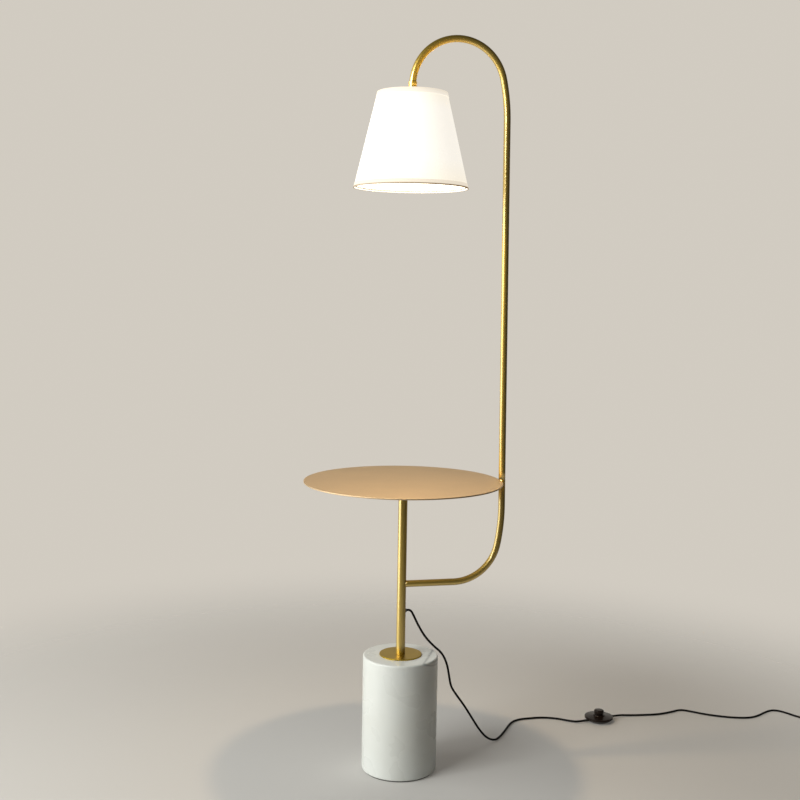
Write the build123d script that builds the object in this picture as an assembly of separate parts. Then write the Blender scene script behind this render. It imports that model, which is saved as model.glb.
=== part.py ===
"""Floor lamp with a marble drum base, a round side table and a gooseneck pole that carries a shade.

Millimetres, +Z up. The origin is on the floor, at the middle of the base. The arm, the pole and the
gooseneck lie in the XZ plane, on the +X side. The cord lies on the floor on the same side, a little
behind that plane, and ends in a small tied coil.
"""

import os
from math import atan2, ceil, cos, degrees, hypot, pi, radians, sin, sqrt, tan

from build123d import *

# Base
base_dia = 165.0
base_height = 255.5
base_edge = 3.5
base_bore = 14.0
felt_thick = 2.0
felt_inset = 4.0
pocket_dia = 56.0
pocket_depth = 30.0
flange_dia = 93.0
flange_thick = 2.5
rod_dia = 10.0
rod_grip = 28.0
rod_tail = 4.0
washer_dia = 46.0
washer_thick = 3.0
lock_washer_dia = 18.0
lock_washer_thick = 2.2
lock_washer_slit = 1.6
nut_flats = 17.0
nut_thick = 8.0

# Stem
stem_dia = 20.0
stem_wall = 1.5
stem_plug_length = 30.0
cord_exit_height = 355.0
cord_exit_turn = 22.6
grommet_hole = 8.0
grommet_flange_dia = 10.5
grommet_flange_thick = 1.2
grommet_lip = 0.6

# Table
table_dia = 432.0
table_thick = 3.0
table_height = 643.5
table_edge = 0.8
hub_dia = 70.0
hub_thick = 4.0
hub_stud_length = 22.0
stud_dia = 4.0
stud_length = 11.0
stud_circle = 52.0
stud_count = 3
stud_nut_flats = 7.0
stud_nut_thick = 3.2

# Arm, pole and gooseneck
tube_dia = 15.0
tube_wall = 1.2
arm_height = 415.6
arm_entry = 5.0
bend_radius = 101.0
lead_radius = 425.0
lead_turn = 11.9
seam_rise = 57.5
pole_lean = 0.62
neck_top = 1593.0
neck_tail = 15.5
coupling_length = 44.0
coupling_bore = 9.0

# Collar and nipple at the gooseneck's end
collar_dia = 17.6
collar_groove_dia = 16.9
collar_foot_dia = 24.0
collar_band = 6.5
collar_groove = 1.6
collar_height = 25.0
collar_floor = 3.0
collar_gap = 0.4
nipple_dia = 10.0
nipple_bore = 7.4
nipple_tail = 9.0
neck_plug_length = 10.0

# Shade
shade_top_dia = 148.0
shade_bottom_dia = 243.0
shade_height = 198.0
shade_rise = 3.0
fabric_thick = 0.6
liner_thick = 0.6
layer_gap = 0.1
trim_height = 10.0
trim_thick = 0.5
ring_wire = 4.0
spoke_wire = 3.4
spoke_count = 3
washer_fitter_dia = 30.0
washer_fitter_thick = 2.0

# Lamp socket
cap_dia = 38.0
cap_height = 20.0
cap_wall = 0.8
cap_round = 7.0
cap_nut_flats = 14.0
cap_nut_thick = 3.0
shell_wall = 0.6
shell_length = 42.0
shell_lap = 6.0
liner_wall = 0.8
socket_body_thick = 12.0
socket_body_drop = 18.0
screw_shell_bore = 26.6
screw_shell_wall = 0.5
screw_shell_length = 24.0
contact_dia = 6.0
contact_height = 2.4
terminal_dia = 7.0
terminal_height = 2.2
terminal_offset = 9.5

# Bulb
bulb_cap_dia = 26.0
bulb_cap_wall = 0.4
bulb_cap_length = 23.0
bulb_cap_shoulder = 3.5
bulb_tip_dia = 9.0
bulb_tip_height = 1.9
bulb_dia = 60.0
bulb_length = 108.0
bulb_neck_dia = 24.4
bulb_neck_blend = 40.0
bulb_neck_lap = 6.0
bulb_wall = 0.8

# Cord
cord_dia = 5.0
floor_gap = 0.1

# Foot switch
switch_x = 550.0
switch_y = 182.7
switch_turn = 11.2
switch_dia = 70.0
switch_foot_dia = 52.0
switch_floor = 1.0
switch_rim_height = 10.0
switch_wall = 2.0
switch_brim = 1.6
switch_cone_rise = 2.6
switch_collar_dia = 30.0
switch_collar_top = 16.6
button_shaft_dia = 19.0
button_cap_dia = 24.0
button_top = 28.0
button_cap_height = 8.0
button_round = 3.4
button_flange_dia = 24.4
button_flange_thick = 2.0
button_travel = 3.0
button_gap = 0.25
spring_wire = 0.8
spring_dia = 13.0
spring_turns = 3
pad_dia = 8.0
pad_thick = 1.6
pad_circle = 40.0
pad_count = 3
switch_screw_dia = 2.8
switch_screw_head = 5.6
switch_screw_spread = 21.0
switch_boss_dia = 8.0
switch_boss_split = 7.0
bush_dia = 6.8
bush_end_dia = 6.0
bush_reach = 42.0
bush_length = 15.0
contact_strip = 9.0
contact_strip_width = 6.0
contact_strip_thick = 0.8
contact_strip_rise = 4.0
contact_strip_place = 17.0

# Coil, tie and plug
coil_x = 1109.5
coil_y = 99.6
coil_core = 20.4
coil_pitch = 5.7
coil_start_turn = -139.2
coil_layer_turns = 2
coil_lead_in = 20.0
coil_lead_out = 6.0
tie_wall = 0.6
tie_gap = 0.4
tie_width = 6.0
tie_turn = 137.0
plug_width = 27.0
plug_thick = 18.0
plug_body_length = 26.0
plug_shoulder_length = 12.0
plug_round = 5.0
plug_rear_width = 15.0
plug_rear_thick = 12.0
relief_length = 24.0
relief_end_dia = 6.6
relief_root_dia = 10.0
blade_spacing = 12.7
blade_width = 6.35
blade_thick = 1.5
blade_length = 17.0
blade_root = 6.0
blade_hole = 3.0
blade_hole_place = 11.9

# Clearances
fit_gap = 0.05
thread_gap = 0.1
slip_gap = 0.2

# Heights and places that follow from the sizes above
marble_top = felt_thick + base_height
flange_top = marble_top + flange_thick
pocket_top = felt_thick + pocket_depth
table_under = table_height - table_thick
stem_top = table_under - hub_thick
stem_bore = stem_dia - 2 * stem_wall
tube_bore = tube_dia - 2 * tube_wall
pole_reach = table_dia / 2 + slip_gap + tube_dia / 2
cord_radius = cord_dia / 2
floor_height = cord_radius + floor_gap
exit_reach = stem_dia / 2 + grommet_flange_thick


def pole_x(height):
    """Pole axis at a height: the pole leans in from its place at the table."""
    return pole_reach - (height - table_height) * tan(radians(pole_lean))


def bend_centres(tight_z, turn):
    """Centres of a bend's tight arc and of the wide arc that leads from it into the pole."""
    lean, joint = radians(pole_lean), radians(pole_lean + turn)
    step = lead_radius - bend_radius
    wide_z = tight_z - step * sin(joint)
    wide_x = pole_x(wide_z + lead_radius * sin(lean)) - lead_radius * cos(lean)
    return (wide_x + step * cos(joint), tight_z), (wide_x, wide_z)


neck_tight, neck_wide = bend_centres(neck_top - tube_dia / 2 - bend_radius, lead_turn)
elbow_tight, elbow_wide = bend_centres(arm_height + bend_radius, -lead_turn)
head_x = neck_tight[0] - bend_radius
neck_end = neck_tight[1] - neck_tail
collar_low = neck_end - collar_floor
fitter_low = collar_low - washer_fitter_thick
fitter_mid = fitter_low + washer_fitter_thick / 2
shade_top = fitter_mid + shade_rise
shade_low = shade_top - shade_height
cap_top = fitter_low
body_top = cap_top - socket_body_drop
body_low = body_top - socket_body_thick
shell_radius = cap_dia / 2 - cap_wall - thread_gap
shell_inner = shell_radius - shell_wall
shell_top = cap_top - cap_height + shell_lap
tip_top = body_low - contact_height - slip_gap
cap_shell_top = tip_top - bulb_tip_height
cap_shell_low = cap_shell_top - bulb_cap_length
coil_low = tie_wall + tie_gap + cord_radius + floor_gap
coil_top = coil_low + coil_pitch

parts = {}


def turned(*corners):
    """Solid turned about Z from (radius, height) corners."""
    outline = Polyline(*[(radius, height) for radius, height in corners], close=True)
    return revolve(Plane.XZ * make_face(outline), Axis.Z)


def rod(dia, low, high, x=0.0, y=0.0):
    """Upright cylinder between two heights."""
    return Pos(x, y, low) * Cylinder(dia / 2, high - low, align=(Align.CENTER, Align.CENTER, Align.MIN))


def sleeve(dia, bore, low, high, x=0.0, y=0.0):
    """Upright tube between two heights."""
    return rod(dia, low, high, x, y) - rod(bore, low - 1, high + 1, x, y)


def hex_nut(flats, bore, low, high):
    """Hexagon nut on the Z axis, with its corners turned off."""
    side = flats / sqrt(3)
    blank = extrude(Pos(0, 0, low) * RegularPolygon(side, 6), high - low)
    corner = side - flats / 2
    turning = turned(
        (0, low),
        (flats / 2, low),
        (side, low + corner / 2),
        (side, high - corner / 2),
        (flats / 2, high),
        (0, high),
    )
    return (blank & turning) - rod(bore, low - 1, high + 1)


def side_bore(dia, reach, turn, height):
    """Cylinder that runs outwards from the Z axis, to cut a hole in one wall."""
    place = Pos(0, 0, height) * Rot(0, 0, turn) * Rot(0, 90, 0)
    return place * Cylinder(dia / 2, reach, align=(Align.CENTER, Align.CENTER, Align.MIN))


def pipe(path, dia):
    """Round bar swept along a path."""
    return sweep(Plane(path @ 0, z_dir=path % 0) * Circle(dia / 2), path=path)


def tube(path, dia, bore):
    """Round tube swept along a path."""
    return pipe(path, dia) - pipe(path, bore)


def around(count, piece, start=0.0):
    """Copies of a piece, evenly spaced about Z."""
    return [Rot(0, 0, start + 360 * step / count) * piece for step in range(count)]


def group(pieces, place=Pos(0, 0, 0)):
    """Separate solids kept together under one name."""
    return Compound([place * solid for piece in pieces for solid in piece.solids()])


# Base: a marble drum on felt, clamped to the stem by a rod through its middle
def marble_base():
    drum = fillet(rod(base_dia, felt_thick, marble_top).edges().filter_by(GeomType.CIRCLE), base_edge)
    drum -= rod(base_bore, felt_thick - 1, marble_top + 1)
    return drum - rod(pocket_dia, felt_thick - 1, pocket_top)


def lock_washer(high):
    ring = sleeve(lock_washer_dia, rod_dia + 2 * slip_gap, high - lock_washer_thick, high)
    slit = Pos(lock_washer_dia / 2, 0, high - lock_washer_thick / 2) * Rot(30, 0, 0)
    return ring - slit * Box(lock_washer_dia, lock_washer_slit, 4 * lock_washer_thick)


washer_low = pocket_top - washer_thick
nut_top = washer_low - lock_washer_thick
nut_low = nut_top - nut_thick
rod_hole = rod_dia + 2 * thread_gap

parts["marble_base"] = marble_base()
parts["felt_pad"] = rod(base_dia - 2 * felt_inset, 0, felt_thick)
parts["base_flange"] = sleeve(flange_dia, rod_dia + 2 * slip_gap, marble_top, flange_top)
parts["base_washer"] = sleeve(washer_dia, rod_dia + 2 * slip_gap, washer_low, pocket_top)
parts["base_lock_washer"] = lock_washer(washer_low)
parts["base_nut"] = hex_nut(nut_flats, rod_hole, nut_low, nut_top)
parts["tie_rod"] = rod(rod_dia, nut_low - rod_tail, flange_top + rod_grip)


# Stem: a tube with a hole for the arm, a smaller one for the cord, and a threaded plug in each end
def stem_tube():
    stem = sleeve(stem_dia, stem_bore, flange_top, stem_top)
    stem -= side_bore(tube_dia + 2 * fit_gap, stem_dia, 0, arm_height)
    return stem - side_bore(grommet_hole, stem_dia, cord_exit_turn, cord_exit_height)


def stem_plug(low, high):
    return sleeve(stem_bore - 2 * fit_gap, rod_hole, low, high)


def cord_grommet():
    """Bush in the stem's wall: a shank, an outer flange and a lip behind the wall, cut to its curve."""
    shank_dia = grommet_hole - 2 * fit_gap
    shank = side_bore(shank_dia, exit_reach, cord_exit_turn, cord_exit_height)
    flange = side_bore(grommet_flange_dia, exit_reach, cord_exit_turn, cord_exit_height)
    low, high = cord_exit_height - grommet_flange_dia, cord_exit_height + grommet_flange_dia
    bush = shank - rod(stem_bore - 2 * grommet_lip, low, high)
    bush += flange - rod(stem_dia + 2 * fit_gap, low, high)
    lip = flange & rod(stem_bore - 2 * fit_gap, low, high)
    bush += lip - rod(stem_bore - 2 * fit_gap - 2 * grommet_lip, low, high)
    return bush - side_bore(cord_dia + 2 * thread_gap, stem_dia, cord_exit_turn, cord_exit_height)


parts["stem_tube"] = stem_tube()
parts["stem_foot_plug"] = stem_plug(flange_top, flange_top + stem_plug_length)
parts["stem_head_plug"] = stem_plug(stem_top - stem_plug_length, stem_top)
parts["cord_grommet"] = cord_grommet()


# Table: a thin disc that the pole passes at its rim, with weld studs that carry a hub plate under it
def table_top():
    edge = table_dia / 2
    return turned(
        (0, table_under),
        (edge - table_edge, table_under),
        (edge, table_under + table_edge),
        (edge, table_height - table_edge),
        (edge - table_edge, table_height),
        (0, table_height),
    )


def table_hub():
    plate = rod(hub_dia, stem_top, table_under) + rod(rod_dia, stem_top - hub_stud_length, stem_top)
    stud_hole = rod(stud_dia + 2 * slip_gap, stem_top - 1, table_under + 1, stud_circle / 2)
    for hole in around(stud_count, stud_hole):
        plate -= hole
    return plate


weld_stud = rod(stud_dia, table_under - stud_length, table_under, stud_circle / 2)
stud_nut = hex_nut(stud_nut_flats, stud_dia + 2 * thread_gap, stem_top - stud_nut_thick, stem_top)

parts["table_top"] = table_top()
parts["table_hub"] = table_hub()
parts["table_studs"] = group(around(stud_count, weld_stud))
parts["table_nuts"] = group(around(stud_count, Pos(stud_circle / 2, 0, 0) * stud_nut))


# Arm and pole: two bent tubes that meet over a ferrule beside the table's rim
def on_bend(centre, radius, angle):
    """Point of a bend's centre line, at an angle from +X about a centre in the XZ plane."""
    turn = radians(angle)
    return (centre[0] + radius * cos(turn), 0, centre[1] + radius * sin(turn))


def bend(centre, radius, start, end):
    """Arc of a bend between two angles."""
    return ThreePointArc(*[on_bend(centre, radius, angle) for angle in (start, (start + end) / 2, end)])


arm_start = (stem_dia / 2 - arm_entry, 0, arm_height)
elbow_start = on_bend(elbow_tight, bend_radius, -90)
elbow_end = on_bend(elbow_wide, lead_radius, pole_lean)
pole_seam = elbow_end[2] + seam_rise
seam_point = (pole_x(pole_seam), 0, pole_seam)
neck_start = on_bend(neck_wide, lead_radius, pole_lean)
neck_low = on_bend(neck_tight, bend_radius, 180)
elbow_arcs = bend(elbow_tight, bend_radius, -90, pole_lean - lead_turn)
elbow_arcs += bend(elbow_wide, lead_radius, pole_lean - lead_turn, pole_lean)
neck_arcs = bend(neck_wide, lead_radius, pole_lean, pole_lean + lead_turn)
neck_arcs += bend(neck_tight, bend_radius, pole_lean + lead_turn, 180)
arm_path = Line(arm_start, elbow_start) + elbow_arcs + Line(elbow_end, seam_point)
neck_path = Line(seam_point, neck_start) + neck_arcs + Line(neck_low, (head_x, 0, neck_end))


def pole_coupling():
    """Ferrule along the leaning pole axis, half in each tube."""
    ferrule = sleeve(tube_bore - 2 * fit_gap, coupling_bore, -coupling_length / 2, coupling_length / 2)
    return Pos(*seam_point) * Rot(0, -pole_lean, 0) * ferrule


parts["arm_tube"] = tube(arm_path, tube_dia, tube_bore)
parts["neck_tube"] = tube(neck_path, tube_dia, tube_bore)
parts["pole_coupling"] = pole_coupling()

# Head: everything below is turned about the head axis and then moved there
head = Pos(head_x, 0, 0)


def neck_collar():
    """Turned cup on the tube's end: two bands with a groove between them, and a wider foot."""
    top = collar_low + collar_height
    band, groove, foot = collar_dia / 2, collar_groove_dia / 2, collar_foot_dia / 2
    bore = tube_dia / 2 + collar_gap
    hole = nipple_dia / 2 + slip_gap
    upper = top - collar_band
    lower = upper - collar_groove
    return turned(
        (hole, collar_low),
        (foot, collar_low),
        (foot, collar_low + collar_floor),
        (band, lower - collar_band),
        (band, lower),
        (groove, lower),
        (groove, upper),
        (band, upper),
        (band, top),
        (bore, top),
        (bore, neck_end),
        (hole, neck_end),
    )


nipple_low = cap_top - nipple_tail
nipple_hole = nipple_dia + 2 * thread_gap
parts["neck_collar"] = head * neck_collar()
neck_plug_top = neck_end + neck_plug_length
parts["neck_plug"] = head * sleeve(tube_bore - 2 * fit_gap, nipple_hole, neck_end, neck_plug_top)
parts["neck_nipple"] = head * sleeve(nipple_dia, nipple_bore, nipple_low, neck_plug_top)


# Lamp socket under the fitter
def socket_cap():
    low = cap_top - cap_height
    outer = rod(cap_dia, low, cap_top)
    outer = fillet(outer.edges().group_by(Axis.Z)[-1], cap_round)
    inner = rod(cap_dia - 2 * cap_wall, low - 1, cap_top - cap_wall)
    inner = fillet(inner.edges().group_by(Axis.Z)[-1], cap_round - cap_wall)
    return outer - inner - rod(nipple_dia + 2 * slip_gap, low, cap_top + 1)


def socket_terminals():
    high = body_top + terminal_height
    screw = rod(terminal_dia, body_top, high, terminal_offset)
    slot = Pos(terminal_offset, 0, high) * Box(terminal_dia, terminal_dia / 6, terminal_height)
    return group(around(2, screw - slot), head)


shell_low = shell_top - shell_length
liner_radius = shell_inner - slip_gap
nut_high = cap_top - cap_wall
parts["cap_nut"] = head * hex_nut(cap_nut_flats, nipple_hole, nut_high - cap_nut_thick, nut_high)
parts["socket_cap"] = head * socket_cap()
parts["socket_shell"] = head * sleeve(2 * shell_radius, 2 * shell_inner, shell_low, shell_top)
liner_bore = 2 * (liner_radius - liner_wall)
parts["socket_liner"] = head * sleeve(2 * liner_radius, liner_bore, shell_low, body_low)
parts["socket_body"] = head * rod(2 * liner_radius, body_low, body_top)
parts["socket_terminals"] = socket_terminals()
parts["socket_screw_shell"] = head * sleeve(
    screw_shell_bore + 2 * screw_shell_wall, screw_shell_bore, body_low - screw_shell_length, body_low
)
parts["socket_contact"] = head * rod(contact_dia, body_low - contact_height, body_low)


# Bulb
def bulb_form(inset, top):
    """Pear shape: a round neck blended into a ball, drawn in by an inset."""
    ball, neck, blend = bulb_dia / 2 - inset, bulb_neck_dia / 2 - inset, bulb_neck_blend + inset
    middle = tip_top - bulb_length + bulb_dia / 2
    blend_z = middle + sqrt((ball + blend) ** 2 - (neck + blend) ** 2)
    share = ball / (ball + blend)
    meet = ((neck + blend) * share, middle + (blend_z - middle) * share)
    half = atan2(blend_z - middle, neck + blend) / 2
    blend_mid = (neck + blend - blend * cos(half), blend_z - blend * sin(half))
    side = atan2(meet[1] - middle, meet[0])
    ball_angle = (side - pi / 2) / 2
    ball_mid = (ball * cos(ball_angle), middle + ball * sin(ball_angle))
    outline = Line((0, top), (neck, top)) + Line((neck, top), (neck, blend_z))
    outline += ThreePointArc((neck, blend_z), blend_mid, meet)
    outline += ThreePointArc(meet, ball_mid, (0, middle - ball)) + Line((0, middle - ball), (0, top))
    return revolve(Plane.XZ * make_face(outline), Axis.Z)


def bulb_cap():
    outer, inner = bulb_cap_dia / 2, bulb_cap_dia / 2 - bulb_cap_wall
    tip, shoulder = bulb_tip_dia / 2, cap_shell_top - bulb_cap_shoulder
    return turned(
        (0, cap_shell_top),
        (tip, cap_shell_top),
        (outer, shoulder),
        (outer, cap_shell_low),
        (inner, cap_shell_low),
        (inner, shoulder - bulb_cap_wall),
        (tip, cap_shell_top - bulb_cap_wall),
        (0, cap_shell_top - bulb_cap_wall),
    )


glass_top = cap_shell_low + bulb_neck_lap
parts["bulb_cap"] = head * bulb_cap()
parts["bulb_tip"] = head * rod(bulb_tip_dia, cap_shell_top, tip_top)
parts["bulb_glass"] = head * (bulb_form(0, glass_top) - bulb_form(bulb_wall, glass_top + 1))


# Shade: wire rings and a spider inside a plastic liner, covered in fabric and edged with tape
def shade_radius(height):
    """Outside of the fabric at a height."""
    share = (shade_top - height) / shade_height
    return shade_top_dia / 2 + (shade_bottom_dia - shade_top_dia) / 2 * share


def cone_skin(inset, thick):
    """Layer of the shade's cone between two insets from the fabric's outside."""
    high, low = shade_radius(shade_top) - inset, shade_radius(shade_low) - inset
    return turned((low, shade_low), (high, shade_top), (high - thick, shade_top), (low - thick, shade_low))


def edge_tape(edge, inward):
    """Tape on the outside of one edge, folded over the edge of the layers."""
    outside = layer_gap + trim_thick
    depth = 2 * layer_gap + fabric_thick + liner_thick
    end, fold = edge + inward * trim_height, edge - inward * trim_thick
    at_edge, at_end = shade_radius(edge), shade_radius(end)
    return turned(
        (at_edge + outside, fold),
        (at_end + outside, end),
        (at_end + layer_gap, end),
        (at_edge + layer_gap, edge),
        (at_edge - depth, edge),
        (at_edge - depth, fold),
    )


def shade_ring(height):
    """Wire ring against the inside of the liner."""
    slope = atan2((shade_bottom_dia - shade_top_dia) / 2, shade_height)
    inside = shade_radius(height) - fabric_thick - liner_thick - 2 * layer_gap
    radius = inside - (ring_wire / 2 + layer_gap) / cos(slope)
    return Pos(0, 0, height) * Torus(radius, ring_wire / 2), radius


top_ring, top_ring_radius = shade_ring(fitter_mid)
bottom_ring, bottom_ring_radius = shade_ring(shade_low + ring_wire)


def shade_spider():
    """Centre washer with wire spokes that reach the top ring."""
    start = washer_fitter_dia / 2 - spoke_wire
    reach = top_ring_radius - ring_wire / 2 - layer_gap
    plate = rod(washer_fitter_dia, fitter_low, collar_low)
    spoke = Pos(start, 0, fitter_mid) * Rot(0, 90, 0) * Cylinder(
        spoke_wire / 2, reach - start, align=(Align.CENTER, Align.CENTER, Align.MIN)
    )
    spoke -= rod(cap_dia + 2 * spoke_wire, fitter_low - spoke_wire, fitter_low)
    spoke -= rod(collar_foot_dia + 2 * slip_gap, collar_low, collar_low + spoke_wire)
    for arm in around(spoke_count, spoke):
        plate += arm
    return plate - rod(nipple_dia + 2 * slip_gap, fitter_low - spoke_wire, collar_low + spoke_wire)


parts["shade_spider"] = head * shade_spider()
parts["shade_top_ring"] = head * top_ring
parts["shade_bottom_ring"] = head * bottom_ring
parts["shade_fabric"] = head * cone_skin(0, fabric_thick)
parts["shade_liner"] = head * cone_skin(fabric_thick + layer_gap, liner_thick)
parts["shade_top_trim"] = head * edge_tape(shade_top, -1)
parts["shade_bottom_trim"] = head * edge_tape(shade_low, 1)


# Lead inside the tubes, from the grommet to the socket
exit_way = (cos(radians(cord_exit_turn)), sin(radians(cord_exit_turn)))
lead_bend = stem_bore / 2 - cord_radius


def internal_lead():
    start = (exit_reach * exit_way[0], exit_reach * exit_way[1], cord_exit_height)
    riser = FilletPolyline(
        start, (0, 0, cord_exit_height), (0, 0, arm_height), elbow_start, radius=lead_bend
    )
    pole_run = Line(elbow_end, neck_start)
    drop = Line(neck_low, (head_x, 0, body_top + slip_gap))
    return pipe(riser + elbow_arcs + pole_run + neck_arcs + drop, cord_dia)


parts["internal_lead"] = internal_lead()


# Cord: straight runs joined by arcs as large as the runs allow
def corner_radii(points, name):
    """One radius for each corner: 0.45 of the shorter run over the tangent of half the turn."""
    spots = [Vector(*point) for point in points]
    runs = [after - before for before, after in zip(spots, spots[1:])]
    radii = []
    for into, out in zip(runs, runs[1:]):
        half = radians(into.get_angle(out)) / 2
        radii.append(0.45 * min(into.length, out.length) / tan(half))
    print(name, "runs", [round(run.length) for run in runs])
    print(name, "radii", [round(radius) for radius in radii])
    return radii


def cord_tube(points, name):
    path = FilletPolyline(*points, radius=corner_radii(points, name))
    solid = pipe(path, cord_dia)
    share = solid.volume / (path.length * pi * cord_radius**2)
    print(name, "length", round(path.length), "volume over section times length", round(share, 4))
    return solid


def hanging(reach, height):
    """Point in the upright plane in which the cord leaves the stem."""
    return (reach * exit_way[0], reach * exit_way[1], height)


def switch_point(along):
    """Point on the switch's cord axis."""
    turn = radians(switch_turn)
    return (switch_x + along * cos(turn), switch_y + along * sin(turn), bush_height)


bush_height = switch_floor + (switch_rim_height - switch_floor) / 2
bush_run = 20.0
hang_route = [
    (20.2, 355.0), (28.0, 350.4), (34.5, 339.0), (46.0, 317.5), (66.0, 286.5), (91.0, 261.0),
    (116.0, 240.0), (130.0, 214.0), (137.0, 185.0), (142.5, 158.0), (158.0, 136.0), (183.0, 105.0),
    (208.0, 68.5), (232.0, 34.0), (256.0, 9.5),
]
floor_route = [
    (257.0, 102.0), (277.5, 125.5), (297.5, 155.0), (315.5, 183.5), (332.0, 206.5), (354.5, 219.5),
    (378.5, 221.0), (404.0, 222.0), (430.5, 216.5), (453.5, 205.0), (473.5, 188.0),
]
away_route = [
    (635.5, 196.5), (667.0, 192.0), (711.5, 188.5), (752.5, 198.0), (782.0, 209.5), (803.0, 194.0),
    (830.5, 166.5), (878.5, 138.0), (926.5, 124.0), (958.5, 134.0), (992.0, 156.0), (1018.0, 164.5),
    (1035.0, 150.5), (1052.5, 113.5),
]

to_switch = [hanging(exit_reach, cord_exit_height)]
to_switch += [hanging(reach, height) for reach, height in hang_route]
to_switch += [(x, y, floor_height) for x, y in floor_route]
to_switch += [switch_point(-bush_reach - bush_run), switch_point(-bush_reach)]


# Coil: a flat spiral in, a half turn that climbs one layer and turns back, and a flat spiral out
coil_climb = 360.0 * coil_layer_turns
coil_turn_back = coil_climb + 90.0
coil_sweep = 360.0 * (2 * coil_layer_turns) - coil_start_turn


def coil_spot(sweep_angle):
    """Point and direction of the coil's centre line after a swept angle."""
    turn = radians(coil_start_turn + sweep_angle)
    radius = coil_core + coil_pitch * abs(sweep_angle - coil_turn_back) / 360
    drift = coil_pitch / (2 * pi) * (1 if sweep_angle > coil_turn_back else -1)
    share = min(max((sweep_angle - coil_climb) / 180, 0), 1)
    height = coil_low + coil_pitch * (1 - cos(pi * share)) / 2
    climb = coil_pitch / 2 * sin(pi * share)
    spot = Vector(coil_x + radius * cos(turn), coil_y + radius * sin(turn), height)
    way = Vector(drift * cos(turn) - radius * sin(turn), drift * sin(turn) + radius * cos(turn), climb)
    return spot, way.normalized()


def biarc(start, start_way, end, end_way):
    """Two arcs from one point and direction to another, tangent where they meet."""
    chord = end - start
    ways = start_way + end_way
    spread = 2 * (1 - start_way.dot(end_way))
    along = chord.dot(ways)
    reach = (sqrt(along**2 + spread * chord.dot(chord)) - along) / spread
    middle = (start + end + (start_way - end_way) * reach) * 0.5
    across = chord - ways * reach
    return [TangentArc(start, middle, tangent=start_way), TangentArc(middle, end, tangent=across)]


def winding(spot_at, angles):
    """Path of biarcs through the spots at the given angles."""
    spots = [spot_at(angle) for angle in angles]
    arcs = []
    for before, after in zip(spots, spots[1:]):
        arcs += biarc(*before, *after)
    return arcs


def least_gap(path, wire, apart):
    """Least gap between stretches of a winding that lie further apart than a length along it."""
    step = wire / 4
    count = ceil(path.length / step)
    spots = [path.position_at(place / count) for place in range(count + 1)]
    skip = ceil(apart / step)
    gaps = [(a - b).length for i, a in enumerate(spots) for b in spots[i + skip:]]
    return min(gaps) - wire


half_turns = [180.0 * step for step in range(ceil(coil_sweep / 180))] + [coil_sweep]
coil_start, coil_start_way = coil_spot(0)
coil_end, coil_end_way = coil_spot(coil_sweep)
coil_out = coil_end + coil_end_way * coil_lead_out
coil_mouth = coil_start - coil_start_way * cord_dia
coil_turns = winding(coil_spot, half_turns)
coil_path = Wire([Line(coil_mouth, coil_start)] + coil_turns + [Line(coil_end, coil_out)])
coil_gap = least_gap(coil_path, cord_dia, pi * coil_core)
print("coil length", round(coil_path.length), "least gap", round(coil_gap, 2))

to_plug = [switch_point(bush_reach), switch_point(bush_reach + bush_run)]
to_plug += [(x, y, floor_height) for x, y in away_route]
to_plug += [tuple(coil_start - coil_start_way * (cord_dia + coil_lead_in)), tuple(coil_mouth)]


def coil_tie():
    """Band round the bundle of turns, square to them."""
    inner = coil_core + coil_pitch * 0.5 - cord_radius - tie_gap
    outer = inner + coil_pitch + cord_dia + 2 * tie_gap
    low, high = coil_low - cord_radius - tie_gap, coil_top + cord_radius + tie_gap
    middle = ((inner + outer) / 2, 0, (low + high) / 2)
    wide, tall = outer - inner, high - low
    band = Box(wide + 2 * tie_wall, tie_width, tall + 2 * tie_wall) - Box(wide, 2 * tie_width, tall)
    return Pos(coil_x, coil_y, 0) * Rot(0, 0, tie_turn) * Pos(*middle) * band


parts["cord_to_switch"] = cord_tube(to_switch, "cord to switch")
parts["cord_to_plug"] = cord_tube(to_plug, "cord to plug")
parts["cord_coil"] = pipe(coil_path, cord_dia)
parts["coil_tie"] = coil_tie()

# Foot switch: two shells, a sprung button, and a bush at each cord entry
switch = Pos(switch_x, switch_y, 0) * Rot(0, 0, switch_turn)
switch_radius = switch_dia / 2
brim_top = switch_rim_height + switch_brim
cone_top = brim_top + switch_cone_rise
ceiling = cone_top - switch_wall
cavity_floor = switch_floor + switch_wall
flange_high = ceiling - button_gap
flange_low = flange_high - button_flange_thick


def switch_screw_places(piece):
    return [Pos(0, side * switch_screw_spread, 0) * piece for side in (-1, 1)]


def switch_base():
    foot = switch_foot_dia / 2
    inner_foot, inner_rim = foot - switch_wall, switch_radius - switch_wall
    shell = turned(
        (0, switch_floor),
        (foot, switch_floor),
        (switch_radius, switch_rim_height - switch_wall),
        (switch_radius, switch_rim_height),
        (inner_rim, switch_rim_height),
        (inner_rim, switch_rim_height - switch_wall),
        (inner_foot, cavity_floor),
        (0, cavity_floor),
    )
    for boss in switch_screw_places(rod(switch_boss_dia, cavity_floor, switch_boss_split)):
        shell += boss
    for hole in switch_screw_places(rod(switch_screw_dia + 2 * slip_gap, 0, switch_boss_split + 1)):
        shell -= hole
    for sink in switch_screw_places(rod(switch_screw_head + 2 * slip_gap, 0, cavity_floor)):
        shell -= sink
    for recess in around(pad_count, rod(pad_dia + 2 * fit_gap, 0, pad_thick, pad_circle / 2)):
        shell -= recess
    for hole in around(2, bush_hole()):
        shell -= hole
    return shell


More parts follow.
